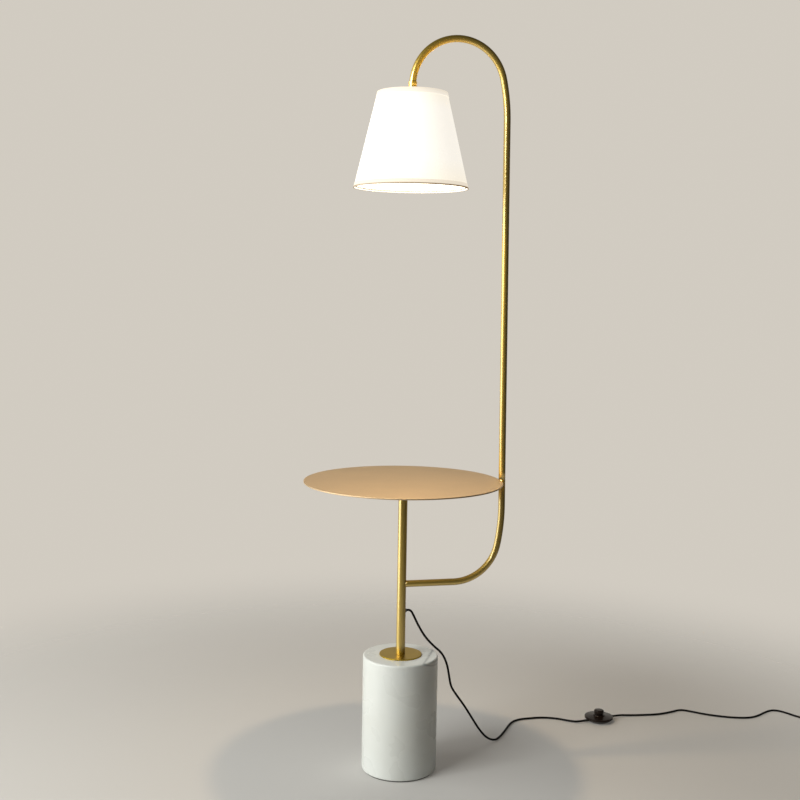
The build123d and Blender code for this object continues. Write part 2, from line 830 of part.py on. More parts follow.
def switch_cover():
    collar, hole = switch_collar_dia / 2, button_shaft_dia / 2 + button_gap
    inner_rim = switch_radius - switch_wall
    shell = turned(
        (inner_rim, switch_rim_height),
        (switch_radius, switch_rim_height),
        (switch_radius, brim_top),
        (inner_rim, brim_top + switch_brim / 2),
        (collar, cone_top),
        (collar - switch_brim, switch_collar_top),
        (hole, switch_collar_top),
        (hole, ceiling),
        (collar, ceiling),
        (inner_rim, brim_top - switch_wall / 2),
    )
    for boss in switch_screw_places(rod(switch_boss_dia, switch_boss_split + slip_gap, ceiling)):
        shell += boss
    for hole in switch_screw_places(rod(switch_screw_dia + 2 * thread_gap, 0, ceiling - switch_wall)):
        shell -= hole
    return shell


def switch_button():
    cap = rod(button_cap_dia, button_top - button_cap_height, button_top)
    cap = fillet(cap.edges().group_by(Axis.Z)[-1], button_round)
    shaft = rod(button_shaft_dia, flange_low, button_top - button_cap_height)
    return cap + shaft + rod(button_flange_dia, flange_low, flange_high)


def spring_spot(sweep_angle):
    """Point and direction of the spring's centre line after a swept angle."""
    turn = radians(sweep_angle)
    low, high = cavity_floor + spring_wire / 2 + slip_gap, flange_low - spring_wire / 2 - slip_gap
    rise = (high - low) / spring_turns
    radius = spring_dia / 2
    spot = Vector(radius * cos(turn), radius * sin(turn), low + rise * sweep_angle / 360)
    return spot, Vector(-radius * sin(turn), radius * cos(turn), rise / (2 * pi)).normalized()


def switch_spring():
    angles = [180.0 * step for step in range(2 * spring_turns + 1)]
    return pipe(Wire(winding(spring_spot, angles)), spring_wire)


def switch_bush():
    """Tapered bush along +X at the cord's height, from inside the wall to the cord."""
    cone = Cone(bush_dia / 2, bush_end_dia / 2, bush_length, align=(Align.CENTER, Align.CENTER, Align.MIN))
    return Pos(bush_reach - bush_length, 0, bush_height) * Rot(0, 90, 0) * cone


def bush_hole():
    bore = Cylinder(bush_dia / 2 + thread_gap, bush_length, align=(Align.CENTER, Align.CENTER, Align.MIN))
    return Pos(bush_reach - bush_length, 0, bush_height) * Rot(0, 90, 0) * bore


def switch_contacts():
    on_floor = (Align.MIN, Align.CENTER, Align.MIN)
    place = Pos(contact_strip_place - contact_strip / 2, 0, cavity_floor)
    foot = place * Box(contact_strip, contact_strip_width, contact_strip_thick, align=on_floor)
    leaf = place * Box(contact_strip_thick, contact_strip_width, contact_strip_rise, align=on_floor)
    return group(around(2, foot + leaf), switch)


def switch_screw():
    head_top = cavity_floor - slip_gap
    end = ceiling - switch_wall - slip_gap
    return rod(switch_screw_head, switch_floor, head_top) + rod(switch_screw_dia, head_top, end)


parts["switch_base"] = switch * switch_base()
parts["switch_cover"] = switch * switch_cover()
parts["switch_button"] = switch * switch_button()
parts["switch_spring"] = switch * switch_spring()
parts["switch_contacts"] = switch_contacts()
parts["switch_screws"] = group(switch_screw_places(switch_screw()), switch)
parts["switch_feet"] = group(around(pad_count, rod(pad_dia, 0, pad_thick, pad_circle / 2)), switch)
parts["switch_bushes"] = group(around(2, switch_bush()), switch)

# Plug: along its own +Z from the cord to the blades, then laid down behind the coil
plug_heading = degrees(atan2(coil_end_way.Y, coil_end_way.X))
plug = Pos(*coil_out) * Rot(0, 0, plug_heading) * Rot(0, 90, 0) * Rot(0, 0, 90)
plug_face = relief_length + plug_body_length


def plug_section(width, thick, height):
    return Pos(0, 0, height) * RectangleRounded(width, thick, min(plug_round, 0.45 * thick, 0.45 * width))


def blade(length, grow):
    bar = Box(blade_thick + grow, blade_width + grow, length, align=(Align.CENTER, Align.CENTER, Align.MIN))
    return [Pos(side * blade_spacing / 2, 0, plug_face - blade_root) * bar for side in (-1, 1)]


def plug_body():
    shoulder = relief_length + plug_shoulder_length
    rear = plug_section(plug_rear_width, plug_rear_thick, relief_length)
    body = loft([rear, plug_section(plug_width, plug_thick, shoulder)])
    body += extrude(plug_section(plug_width, plug_thick, shoulder), plug_face - shoulder)
    for pocket in blade(blade_length, 2 * fit_gap):
        body -= pocket
    return body


def plug_blades():
    drill = Rot(0, 90, 0) * Cylinder(blade_hole / 2, 2 * blade_spacing)
    hole = Pos(0, 0, plug_face + blade_hole_place) * drill
    return group([piece - hole for piece in blade(blade_root + blade_length, 0)], plug)


parts["plug_relief"] = plug * Cone(
    relief_end_dia / 2, relief_root_dia / 2, relief_length, align=(Align.CENTER, Align.CENTER, Align.MIN)
)
parts["plug_body"] = plug * plug_body()
parts["plug_blades"] = plug_blades()

os.makedirs("parts", exist_ok=True)
for name, piece in parts.items():
    export_step(piece, os.path.join("parts", name + ".step"))
print(len(parts), "pieces, head axis at", round(head_x, 2), "shade top at", round(shade_top, 1))
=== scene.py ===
"""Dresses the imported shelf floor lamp: bent metal, marble, a lit fabric shade, a cord and a foot switch."""

import math

import bmesh
import bpy
import numpy as np
from bpy.props import FloatProperty, FloatVectorProperty, IntProperty, PointerProperty
from mathutils import Euler, Matrix, Vector


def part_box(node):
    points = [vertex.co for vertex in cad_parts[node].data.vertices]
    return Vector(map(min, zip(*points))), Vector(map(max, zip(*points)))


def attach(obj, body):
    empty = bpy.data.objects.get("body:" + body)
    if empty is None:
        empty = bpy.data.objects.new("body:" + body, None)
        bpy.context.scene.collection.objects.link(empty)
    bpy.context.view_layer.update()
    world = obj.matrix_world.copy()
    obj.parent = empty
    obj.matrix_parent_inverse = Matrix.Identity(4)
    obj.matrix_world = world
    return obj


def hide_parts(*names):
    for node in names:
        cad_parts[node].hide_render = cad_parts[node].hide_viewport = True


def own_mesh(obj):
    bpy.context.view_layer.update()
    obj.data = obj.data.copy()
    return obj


bl_info = {
    "name": "Shelf Floor Lamp",
    "version": (1, 0, 0),
    "blender": (4, 5, 0),
    "location": "View3D > Sidebar > Lamp",
    "description": "Builds the visible surfaces and finishes of a shelf floor lamp on its solid model",
    "category": "Object",
}

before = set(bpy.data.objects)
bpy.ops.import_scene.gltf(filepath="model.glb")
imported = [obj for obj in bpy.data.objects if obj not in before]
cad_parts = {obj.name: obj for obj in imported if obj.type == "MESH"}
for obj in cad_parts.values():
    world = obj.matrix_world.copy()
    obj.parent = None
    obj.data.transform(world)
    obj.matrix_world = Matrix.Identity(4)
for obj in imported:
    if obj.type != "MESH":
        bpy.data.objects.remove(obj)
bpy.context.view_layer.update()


def span(node):
    """Lowest and highest corner of a solid, as arrays in metres."""
    low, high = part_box(node)
    return np.array(low), np.array(high)


def round_span(node):
    """Axis, outer radius, foot and top of a turned solid on the shade's axis."""
    low, high = span(node)
    return ((low[0] + high[0]) / 2, 0), (high[0] - low[0]) / 2, low[2], high[2]


# Route of the cord in metres: reach and height while it hangs, then places on the floor
HANG_ROUTE = [
    (0.0202, 0.3550), (0.0280, 0.3504), (0.0345, 0.3390), (0.0460, 0.3175), (0.0660, 0.2865),
    (0.0910, 0.2610), (0.1160, 0.2400), (0.1300, 0.2140), (0.1370, 0.1850), (0.1425, 0.1580),
    (0.1580, 0.1360), (0.1830, 0.1050), (0.2080, 0.0685), (0.2320, 0.0340), (0.2560, 0.0095),
]
FLOOR_ROUTE = [
    (0.2570, 0.1020), (0.2775, 0.1255), (0.2975, 0.1550), (0.3155, 0.1835), (0.3320, 0.2065),
    (0.3545, 0.2195), (0.3785, 0.2210), (0.4040, 0.2220), (0.4305, 0.2165), (0.4535, 0.2050),
    (0.4735, 0.1880),
]
AWAY_ROUTE = [
    (0.6355, 0.1965), (0.6670, 0.1920), (0.7115, 0.1885), (0.7525, 0.1980), (0.7820, 0.2095),
    (0.8030, 0.1940), (0.8305, 0.1665), (0.8785, 0.1380), (0.9265, 0.1240), (0.9585, 0.1340),
    (0.9920, 0.1560), (1.0180, 0.1645), (1.0350, 0.1505), (1.0525, 0.1135),
]
ENTRY_HEIGHT = 0.0055
COIL_PLACE, COIL_TURN, COIL_STEPS = (1.1095, 0.0996), math.radians(-139.2), 76
PLUG_WAY, PLUG_GAP = (0.02783, 0.99961, 0.0), 0.006

# Radius of the holes for the threaded rod, and pitch of the lamp's screw thread
ROD_HOLE, SCREW_PITCH = 0.0052, 0.00363

# Name, place, target, size, power setting and colour of each soft light, and whether only its light shows
SOFT_LIGHTS = (
    ("key_light", (-2.45, -0.52, 1.0), (0.0, 0.0, 1.0), (1.9, 2.8), "key_power", (0.98, 1.0, 0.98), False),
    ("front_light", (-1.9, -1.6, 2.1), (0.0, 0.0, 0.6), (1.4, 1.4), "front_power", (0.98, 1.0, 0.98), False),
    ("back_fill", (0.4, 2.5, 1.4), (0.0, 0.0, 0.5), (2.0, 2.0), "fill_power", (1.0, 0.98, 0.95), True),
)


class LampSizes(bpy.types.PropertyGroup):
    """Sizes that the surfaces take over from the solids, and the fineness of the surfaces."""

    tube_dia: FloatProperty(
        name="Tube", description="Outside of the arm and the pole", default=0.015, unit="LENGTH"
    )
    tube_bore: FloatProperty(
        name="Tube bore", description="Inside of the arm and the pole", default=0.0126, unit="LENGTH"
    )
    bend_radius: FloatProperty(
        name="Bend", description="Centre-line radius of the arm's bend and the gooseneck",
        default=0.101, unit="LENGTH",
    )
    lead_radius: FloatProperty(
        name="Lead", description="Centre-line radius of the wide arc between a bend and the pole",
        default=0.425, unit="LENGTH",
    )
    lead_turn: FloatProperty(
        name="Lead turn", description="Turn of the wide arc", default=math.radians(11.9), subtype="ANGLE"
    )
    pole_reach: FloatProperty(
        name="Reach", description="Pole axis from the stem axis at the table's height",
        default=0.2237, unit="LENGTH",
    )
    pole_lean: FloatProperty(
        name="Lean", description="Lean of the pole towards the stem",
        default=math.radians(0.62), subtype="ANGLE",
    )
    arm_height: FloatProperty(
        name="Arm height", description="Arm axis above the floor", default=0.4156, unit="LENGTH"
    )
    table_height: FloatProperty(
        name="Table height", description="Top of the table above the floor", default=0.6435, unit="LENGTH"
    )
    table_edge: FloatProperty(
        name="Table edge", description="Rounding of the table's rim", default=0.0009, unit="LENGTH"
    )
    base_edge: FloatProperty(
        name="Base edge", description="Rounding of the marble's edges", default=0.0038, unit="LENGTH"
    )
    cord_dia: FloatProperty(
        name="Cord", description="Outside of the cord", default=0.005, unit="LENGTH"
    )
    cord_exit_turn: FloatProperty(
        name="Cord exit", description="Direction in which the cord leaves the stem",
        default=math.radians(22.6), subtype="ANGLE",
    )
    cord_exit_height: FloatProperty(
        name="Cord exit height", description="Height of the cord's hole in the stem",
        default=0.355, unit="LENGTH",
    )
    switch_turn: FloatProperty(
        name="Switch turn", description="Direction of the cord through the switch",
        default=math.radians(11.2), subtype="ANGLE",
    )
    coil_core: FloatProperty(
        name="Coil core", description="Smallest radius of the coil's turns", default=0.0204, unit="LENGTH"
    )
    coil_pitch: FloatProperty(
        name="Coil pitch", description="Distance between neighbouring turns and layers",
        default=0.0057, unit="LENGTH",
    )
    thread_pitch: FloatProperty(
        name="Thread", description="Pitch of the shade's weave", default=0.0007, unit="LENGTH"
    )
    sides: IntProperty(name="Sides", description="Faces round a turned piece", default=144, min=24, max=360)


class LampColours(bpy.types.PropertyGroup):
    """Colours of the visible finishes."""

    marble: FloatVectorProperty(
        name="Marble", description="Ground of the stone", subtype="COLOR", default=(0.82, 0.835, 0.79)
    )
    vein: FloatVectorProperty(
        name="Veins", description="Grey of the stone's veins", subtype="COLOR", default=(0.36, 0.37, 0.36)
    )
    brass: FloatVectorProperty(
        name="Brass", description="Satin metal of the tubes", subtype="COLOR", default=(0.64, 0.43, 0.04)
    )
    flange: FloatVectorProperty(
        name="Flange", description="Plain metal of the base's disc",
        subtype="COLOR", default=(0.544, 0.3655, 0.034),
    )
    table: FloatVectorProperty(
        name="Table", description="Satin metal of the table", subtype="COLOR", default=(0.67, 0.515, 0.33)
    )
    fabric: FloatVectorProperty(
        name="Fabric", description="Linen of the shade", subtype="COLOR", default=(0.6, 0.57, 0.5)
    )
    trim: FloatVectorProperty(
        name="Trim", description="Tape on the shade's edges", subtype="COLOR", default=(0.36, 0.31, 0.24)
    )
    glow: FloatVectorProperty(
        name="Glow", description="Light that comes through the shade",
        subtype="COLOR", default=(1.0, 0.95, 0.86),
    )
    cord: FloatVectorProperty(
        name="Cord", description="Sheath of the cord", subtype="COLOR", default=(0.007, 0.0065, 0.006)
    )
    switch: FloatVectorProperty(
        name="Switch", description="Shell of the foot switch",
        subtype="COLOR", default=(0.018, 0.011, 0.008),
    )


class LampStage(bpy.types.PropertyGroup):
    """Floor, backdrop and lights."""

    backdrop: FloatVectorProperty(
        name="Backdrop", description="Background", subtype="COLOR", default=(0.64, 0.6, 0.535)
    )
    floor: FloatVectorProperty(
        name="Floor", description="Pale floor",
        subtype="COLOR", default=(0.53, 0.518, 0.498),
    )
    floor_lift: FloatProperty(
        name="Floor lift", description="Light of the floor's own that only the eye sees",
        default=0.14,
    )
    key_power: FloatProperty(
        name="Key", description="Power of the tall soft light on the left",
        default=46.0, unit="POWER",
    )
    front_power: FloatProperty(
        name="Front", description="Power of the soft light at the front",
        default=62.0, unit="POWER",
    )
    fill_power: FloatProperty(
        name="Fill", description="Power of the weak light from behind",
        default=15.0, unit="POWER",
    )
    bulb_power: FloatProperty(
        name="Bulb", description="Power of the lamp's own light",
        default=15.0, unit="POWER",
    )
    ambient: FloatProperty(name="Ambient", description="Light from all round", default=0.05)
    view_turn: FloatProperty(
        name="Turn", description="View's turn from the Y axis towards +X",
        default=math.radians(12.8), subtype="ANGLE",
    )
    view_height: FloatProperty(
        name="Camera height", description="Camera above the floor",
        default=1.0568, unit="LENGTH",
    )
    view_distance: FloatProperty(
        name="Camera distance", description="Camera from the lamp",
        default=2.4688, unit="LENGTH",
    )
    view_tilt: FloatProperty(
        name="Tilt", description="Camera below level",
        default=math.radians(5.49), subtype="ANGLE",
    )
    view_roll: FloatProperty(
        name="Roll", description="Camera about its own axis",
        default=math.radians(0.95), subtype="ANGLE",
    )
    view_aside: FloatProperty(name="Aside", description="Camera to the side", default=-0.0102, unit="LENGTH")
    view_lens: FloatProperty(name="Lens", description="Focal length in millimetres", default=51.81)


def sizes():
    """Settings of the sizes."""
    return bpy.context.scene.lamp_sizes


def colours():
    """Settings of the colours."""
    return bpy.context.scene.lamp_colours


# Surfaces

# Largest share of a side that a corner's arc takes, and how far past the arc its guard point lies
SIDE_SHARE, GUARD_SHARE = 0.45, 0.3


def round_angles(count):
    """Even angles of a full turn, without its end."""
    return np.linspace(0, 2 * math.pi, count, endpoint=False)


def rounded(points, radii, steps=5, closed=True):
    """Outline in (r, z) whose corners are arcs tangent to both sides, with one more point by each arc's end.

    A corner P with unit directions a and b to its neighbours and an opening angle w has its arc's centre on
    the bisector, at radius / sin(w / 2) from P, and touches the sides at radius / tan(w / 2) from P.
    """
    spots = np.asarray(points, float)
    pieces = []
    for index, radius in enumerate(radii):
        spot = spots[index]
        if radius <= 0 or (not closed and index in (0, len(spots) - 1)):
            pieces.append(spot[None])
            continue
        before, after = spots[index - 1] - spot, spots[(index + 1) % len(spots)] - spot
        room = SIDE_SHARE * min(np.linalg.norm(before), np.linalg.norm(after))
        a, b = before / np.linalg.norm(before), after / np.linalg.norm(after)
        half = math.acos(float(np.clip(a @ b, -1, 1))) / 2
        touch = min(radius / math.tan(half), room)
        radius = touch * math.tan(half)
        middle = (a + b) / np.linalg.norm(a + b) * radius / math.sin(half)
        first, last = a * touch - middle, b * touch - middle
        sweep = math.pi - 2 * half
        share = np.linspace(0, 1, steps + 1)[:, None]
        arc = (np.sin((1 - share) * sweep) * first + np.sin(share * sweep) * last) / math.sin(sweep)
        guard = min(GUARD_SHARE * touch, room)
        ends = np.array([a * (touch + guard), b * (touch + guard)])
        pieces.append(spot + np.vstack([ends[:1], middle + arc, ends[1:]]))
    return np.vstack(pieces)


def washer(inner, outer, foot, top, radii, steps=5):
    """Outline of a ring: an oblong between two radii and two heights, with rounded corners."""
    return rounded([(inner, foot), (outer, foot), (outer, top), (inner, top)], radii, steps)


def thin_wall(radius, heights, wall):
    """Outline of a thin wall: its outside from foot to top, and its inside back down."""
    outer = np.stack([radius + 0 * heights, heights], 1)
    return np.vstack([outer, outer[::-1] - np.array([wall, 0])])


def rod(radius, along):
    """Outline of a rod with flat ends: from the axis out to its side, along it and back to the axis."""
    return np.vstack([[(0, along[0])], np.stack([radius, along], 1), [(0, along[-1])]])


def thread(depth, foot=-math.inf, top=math.inf, fade=0.002):
    """Ripple of a rolled screw thread, depth cos(2 pi z / pitch - a), which fades towards its foot and top."""

    def ripple(angle, z):
        wave = depth * np.cos(2 * math.pi * z / SCREW_PITCH - angle)
        return wave * np.clip((top - z) / fade, 0, 1) * np.clip((z - foot) / fade, 0, 1)

    return ripple


def oblong(angle, power):
    """Points of the rounded oblong |x|^n + |y|^n = 1 at given angles, with the power 2 / n."""
    x, y = np.cos(angle), np.sin(angle)
    return np.sign(x) * np.abs(x) ** power, np.sign(y) * np.abs(y) ** power


def surface(name, grid, wrap=(True, True), uv=None):
    """Mesh object on a grid of points: four neighbours make a face, and a wrapped side joins its ends."""
    rows, columns = grid.shape[:2]
    i = np.arange(rows if wrap[0] else rows - 1)
    j = np.arange(columns if wrap[1] else columns - 1)
    i, j = (index.ravel() for index in np.meshgrid(i, j, indexing="ij"))
    k, m = (i + 1) % rows, (j + 1) % columns
    faces = np.stack([i * columns + j, k * columns + j, k * columns + m, i * columns + m], 1)
    mesh = bpy.data.meshes.new(name)
    mesh.from_pydata(grid.reshape(-1, 3).tolist(), [], faces.tolist())
    if uv is not None:
        u, v = uv
        corners = ((i, j), (i + 1, j), (i + 1, j + 1), (i, j + 1))
        spots = np.stack([np.stack([u[a], v[b]], 1) for a, b in corners], 1)
        mesh.uv_layers.new(name="weave").data.foreach_set("uv", spots.astype(np.float32).ravel())
    weld(mesh)
    mesh.polygons.foreach_set("use_smooth", [True] * len(mesh.polygons))
    return link(bpy.data.objects.new(name, mesh))


def weld(mesh):
    """Merges the points that meet at poles and seams, and turns all faces outwards."""
    work = bmesh.new()
    work.from_mesh(mesh)
    bmesh.ops.remove_doubles(work, verts=work.verts, dist=1e-7)
    bmesh.ops.dissolve_degenerate(work, edges=work.edges, dist=1e-8)
    bmesh.ops.recalc_face_normals(work, faces=work.faces)
    work.to_mesh(mesh)
    work.free()


def link(piece):
    """Puts an object into the scene."""
    bpy.context.scene.collection.objects.link(piece)
    return piece


def moved(grid, place):
    """Grid carried to a place given as a 4 by 4 matrix."""
    return grid @ np.array(place)[:3, :3].T + np.array(place)[:3, 3]


def turned(name, outline, axis=(0, 0), closed=True, place=None, ripple=None, weave=False, sides=None):
    """Turned piece about an upright axis, or about the Z axis of a place given as a 4 by 4 matrix.

    A point (r, z) of the outline lies at (r cos a, r sin a, z) at the angle a, with r changed by ripple(a, z).
    """
    sides = sides or sizes().sides
    angle = round_angles(sides)[:, None]
    r, z = outline[:, 0][None], outline[:, 1][None]
    r = r + (ripple(angle, z) if ripple else 0 * angle)
    grid = np.stack([r * np.cos(angle), r * np.sin(angle), z + 0 * angle], -1)
    grid = grid + np.array([*axis, 0]) if place is None else moved(grid, place)
    uv = None
    if weave:
        runs = np.linalg.norm(np.diff(np.vstack([outline, outline[:1]]), axis=0), axis=1)
        around = np.linspace(0, 2 * math.pi * outline[:, 0].mean(), sides + 1)
        uv = (around, np.concatenate([[0], np.cumsum(runs)]))
    return surface(name, grid, (True, closed), uv)


def rings(out, up, count):
    """Unit circles, one for each direction in out, each through that direction and one that they share."""
    angle = round_angles(count)[None, :, None]
    return out[:, None] * np.cos(angle) + np.array(up) * np.sin(angle)


def bent_tube(name, path, dia, bore, sides=64):
    """Tube along a path in the XZ plane: the outer circle runs out along it, and the inner one runs back."""
    way = np.gradient(path, axis=0)
    way /= np.linalg.norm(way, axis=1)[:, None]
    side = np.stack([-way[:, 2], 0 * way[:, 0], way[:, 0]], 1)
    line = np.vstack([path, path[::-1]])
    radius = np.repeat([dia / 2, bore / 2], len(path))
    ring = rings(np.vstack([side, side[::-1]]), (0, 1, 0), sides)
    return surface(name, line[:, None] + ring * radius[:, None, None])


def arc_points(centre, radius, first, last, count):
    """Points of an arc in the XZ plane, between two angles from +X."""
    angle = np.linspace(first, last, count)
    return np.stack([centre[0] + radius * np.cos(angle), 0 * angle, centre[1] + radius * np.sin(angle)], 1)


def line_points(start, end, count):
    """Points of a straight run in the XZ plane, without its end."""
    share = np.linspace(0, 1, count, endpoint=False)[:, None]
    return np.array(start) * (1 - share) + np.array(end) * share


def pole_x(height):
    """Pole axis at a height: reach less the height above the table times the tangent of the lean."""
    own = sizes()
    return own.pole_reach - (height - own.table_height) * math.tan(own.pole_lean)


def bend_centres(tight_z, turn):
    """Centres, as (x, z), of a bend's tight arc and of the wide arc that leads from it into the pole.

    Where the arcs meet they run the same way, so that point and both centres lie on one line, turned from +X
    by the lean and the turn together.
    """
    own = sizes()
    lean, joint = own.pole_lean, own.pole_lean + turn
    step = own.lead_radius - own.bend_radius
    wide_z = tight_z - step * math.sin(joint)
    wide_x = pole_x(wide_z + own.lead_radius * math.sin(lean)) - own.lead_radius * math.cos(lean)
    return (wide_x + step * math.cos(joint), tight_z), (wide_x, wide_z)


def coil_points():
    """Coil's centre line: it winds in by a pitch a turn, turns back and winds out again one layer higher."""
    own = sizes()
    total, climb = 4 * 2 * math.pi - COIL_TURN, 2 * 2 * math.pi
    back = climb + math.pi / 2
    angle = np.linspace(0, total, COIL_STEPS)
    radius = own.coil_core + own.coil_pitch * np.abs(angle - back) / (2 * math.pi)
    share = np.clip((angle - climb) / math.pi, 0, 1)
    height = 0.0036 + own.coil_pitch * (1 - np.cos(math.pi * share)) / 2
    turn = COIL_TURN + angle
    return np.stack([COIL_PLACE[0] + radius * np.cos(turn), COIL_PLACE[1] + radius * np.sin(turn), height], 1)


# Shader node groups and materials


def put(tree, socket, value):
    """Links an input to another node's output, or sets its value."""
    if isinstance(value, bpy.types.NodeSocket):
        tree.links.new(value, socket)
    else:
        socket.default_value = value


def feed(tree, node, **values):
    """Node with inputs given by name."""
    for label, value in values.items():
        put(tree, node.inputs[label.replace("_", " ")], value)
    return node


def add(tree, kind, **values):
    """New node with its settings and inputs given by name."""
    node = tree.nodes.new(kind)
    for key, value in values.items():
        if hasattr(node, key):
            setattr(node, key, value)
        else:
            feed(tree, node, **{key: value})
    return node


def maths(tree, operation, *values):
    """Math node on outputs or numbers; gives its output."""
    node = add(tree, "ShaderNodeMath", operation=operation)
    for socket, value in zip(node.inputs, values):
        put(tree, socket, value)
    return node.outputs[0]


def ranged(tree, value, low, high, to_low=0.0, to_high=1.0, kind="LINEAR"):
    """Value carried from one range into another; gives the output."""
    node = add(tree, "ShaderNodeMapRange", interpolation_type=kind, Value=value, From_Min=low, From_Max=high)
    return feed(tree, node, To_Min=to_low, To_Max=to_high).outputs["Result"]


def blend(tree, share, first, second, kind="RGBA"):
    """Mix of two colours or, with the kind FLOAT, of two values; gives the output."""
    node = add(tree, "ShaderNodeMix", data_type=kind)
    a, b, out = (6, 7, 2) if kind == "RGBA" else (2, 3, 0)
    for index, value in ((0, share), (a, first), (b, second)):
        put(tree, node.inputs[index], value)
    return node.outputs[out]


def noise(tree, vector, scale, **values):
    """Noise on a vector; gives its output."""
    return add(tree, "ShaderNodeTexNoise", Vector=vector, Scale=scale, **values).outputs["Fac"]


def relief(tree, strength, height):
    """Normal of a fine relief."""
    return add(tree, "ShaderNodeBump", Strength=strength, Distance=0.0002, Height=height).outputs["Normal"]


def object_place(tree):
    """Place on the object."""
    return add(tree, "ShaderNodeTexCoord").outputs["Object"]


def group(name, inputs, outputs):
    """Empty node group with named sockets, its inputs by name and its output node."""
    tree = bpy.data.node_groups.new(name, "ShaderNodeTree")
    for label, kind, value in inputs:
        socket = tree.interface.new_socket(label, in_out="INPUT", socket_type=kind)
        if value is not None:
            socket.default_value = value
    for label, kind in outputs:
        tree.interface.new_socket(label, in_out="OUTPUT", socket_type=kind)
    return tree, tree.nodes.new("NodeGroupInput").outputs, tree.nodes.new("NodeGroupOutput")


def mottle_group():
    """Two colours mixed by soft clouds and finer specks."""
    tree, source, sink = group(
        "Mottle",
        [("Vector", "NodeSocketVector", None), ("Scale", "NodeSocketFloat", 20.0),
         ("Ground", "NodeSocketColor", None), ("Shade", "NodeSocketColor", None)],
        [("Color", "NodeSocketColor")],
    )
    cloud = noise(tree, source["Vector"], source["Scale"], Detail=5.0, Roughness=0.6, Distortion=0.4)
    speck = noise(tree, source["Vector"], maths(tree, "MULTIPLY", source["Scale"], 14.0), Detail=3.0)
    both = maths(tree, "MULTIPLY_ADD", speck, 0.35, maths(tree, "MULTIPLY", cloud, 0.65))
    feed(tree, sink, Color=blend(tree, ranged(tree, both, 0.36, 0.64), source["Ground"], source["Shade"]))
    return tree


def grain_group():
    """Fine grain: a roughness between two limits and a height."""
    tree, source, sink = group(
        "Grain",
        [("Vector", "NodeSocketVector", None), ("Scale", "NodeSocketFloat", 900.0),
         ("Smooth", "NodeSocketFloat", 0.3), ("Rough", "NodeSocketFloat", 0.4)],
        [("Roughness", "NodeSocketFloat"), ("Height", "NodeSocketFloat")],
    )
    height = noise(tree, source["Vector"], source["Scale"], Detail=2.0)
    rough = ranged(tree, height, 0.3, 0.7, source["Smooth"], source["Rough"])
    feed(tree, sink, Roughness=rough, Height=height)
    return tree


def threads_group():
    """Plain weave on a map in metres: threads along both ways that pass over and under each other in turn.

    With p the pitch, |sin(pi u / p)| and |sin(pi v / p)| are the round backs of the threads; the sign of the
    product of the two sines says which of them lies on top.
    """
    tree, source, sink = group(
        "Threads",
        [("Vector", "NodeSocketVector", None), ("Pitch", "NodeSocketFloat", 0.0007)],
        [("Height", "NodeSocketFloat"), ("Slub", "NodeSocketFloat")],
    )
    split = add(tree, "ShaderNodeSeparateXYZ", Vector=source["Vector"]).outputs
    rate = maths(tree, "DIVIDE", math.pi, source["Pitch"])
    across, along = (maths(tree, "SINE", maths(tree, "MULTIPLY", split[way], rate)) for way in "XY")
    top = maths(tree, "GREATER_THAN", maths(tree, "MULTIPLY", across, along), 0.0)
    backs = (maths(tree, "ABSOLUTE", wave) for wave in (across, along))
    stretch = add(
        tree, "ShaderNodeCombineXYZ",
        X=maths(tree, "MULTIPLY", split["X"], 60.0), Y=maths(tree, "DIVIDE", split["Y"], source["Pitch"]),
    )
    slub = noise(tree, stretch.outputs[0], 1.0, Detail=2.0)
    feed(tree, sink, Height=blend(tree, top, *backs, "FLOAT"), Slub=slub)
    return tree


GROUPS = {}


def use_group(tree, name, **values):
    """Node of a shared group, built on first use, with inputs given by name; gives its outputs."""
    makers = {"Mottle": mottle_group, "Grain": grain_group, "Threads": threads_group}
    if name not in GROUPS:
        GROUPS[name] = makers[name]()
    return feed(tree, add(tree, "ShaderNodeGroup", node_tree=GROUPS[name]), **values).outputs


def tint(colour, share=1.0):
    """Colour scaled by a share, as four numbers."""
    return (*[min(1.0, part * share) for part in colour], 1.0)


def plain(name, **values):
    """Material with one shader and its even values; what glows is seen, and lamps do the lighting."""
    made = bpy.data.materials.new(name)
    made.use_nodes = True
    made.cycles.emission_sampling = "NONE"
    tree = made.node_tree
    return made, tree, feed(tree, tree.nodes["Principled BSDF"], **values)


def finish(name, colour, shade, clouds, smooth, rough, grain, bump, **values):
    """Finish with clouded colour and a fine grain that breaks up its gloss."""
    made, tree, shader = plain(name, **values)
    place = object_place(tree)
    ground, darker = tint(colour), tint(colour, shade)
    mottle = use_group(tree, "Mottle", Vector=place, Scale=clouds, Ground=ground, Shade=darker)
    fine = use_group(tree, "Grain", Vector=place, Scale=grain, Smooth=smooth, Rough=rough)
    normal = relief(tree, bump, fine["Height"])
    feed(tree, shader, Base_Color=mottle["Color"], Roughness=fine["Roughness"], Normal=normal)
    return made


def woven(name, colour, glow, strength, pitch, rough):
    """Lit cloth: woven threads, and a light through it, whose stops run from the shade's foot to its top."""
    made, tree, shader = plain(name, Emission_Strength=strength, Roughness=rough)
    weave = add(tree, "ShaderNodeUVMap", uv_map="weave").outputs["UV"]
    threads = use_group(tree, "Threads", Vector=weave, Pitch=pitch)
    base = blend(tree, threads["Slub"], tint(colour, 0.9), tint(colour))
    low, high = span("shade_bottom_trim")[0][2], span("shade_top_trim")[1][2]
    height = add(tree, "ShaderNodeSeparateXYZ", Vector=object_place(tree)).outputs["Z"]
    ramp = add(tree, "ShaderNodeValToRGB", Fac=ranged(tree, height, low, high))
    stops = ramp.color_ramp.elements
    stops[0].color, stops[1].color = tint(glow[0][1]), tint(glow[-1][1])
    for at, light in glow[1:-1]:
        stops.new(at).color = tint(light)
    normal = relief(tree, 0.35, threads["Height"])
    feed(tree, shader, Base_Color=base, Normal=normal, Emission_Color=ramp.outputs["Color"])
    return made


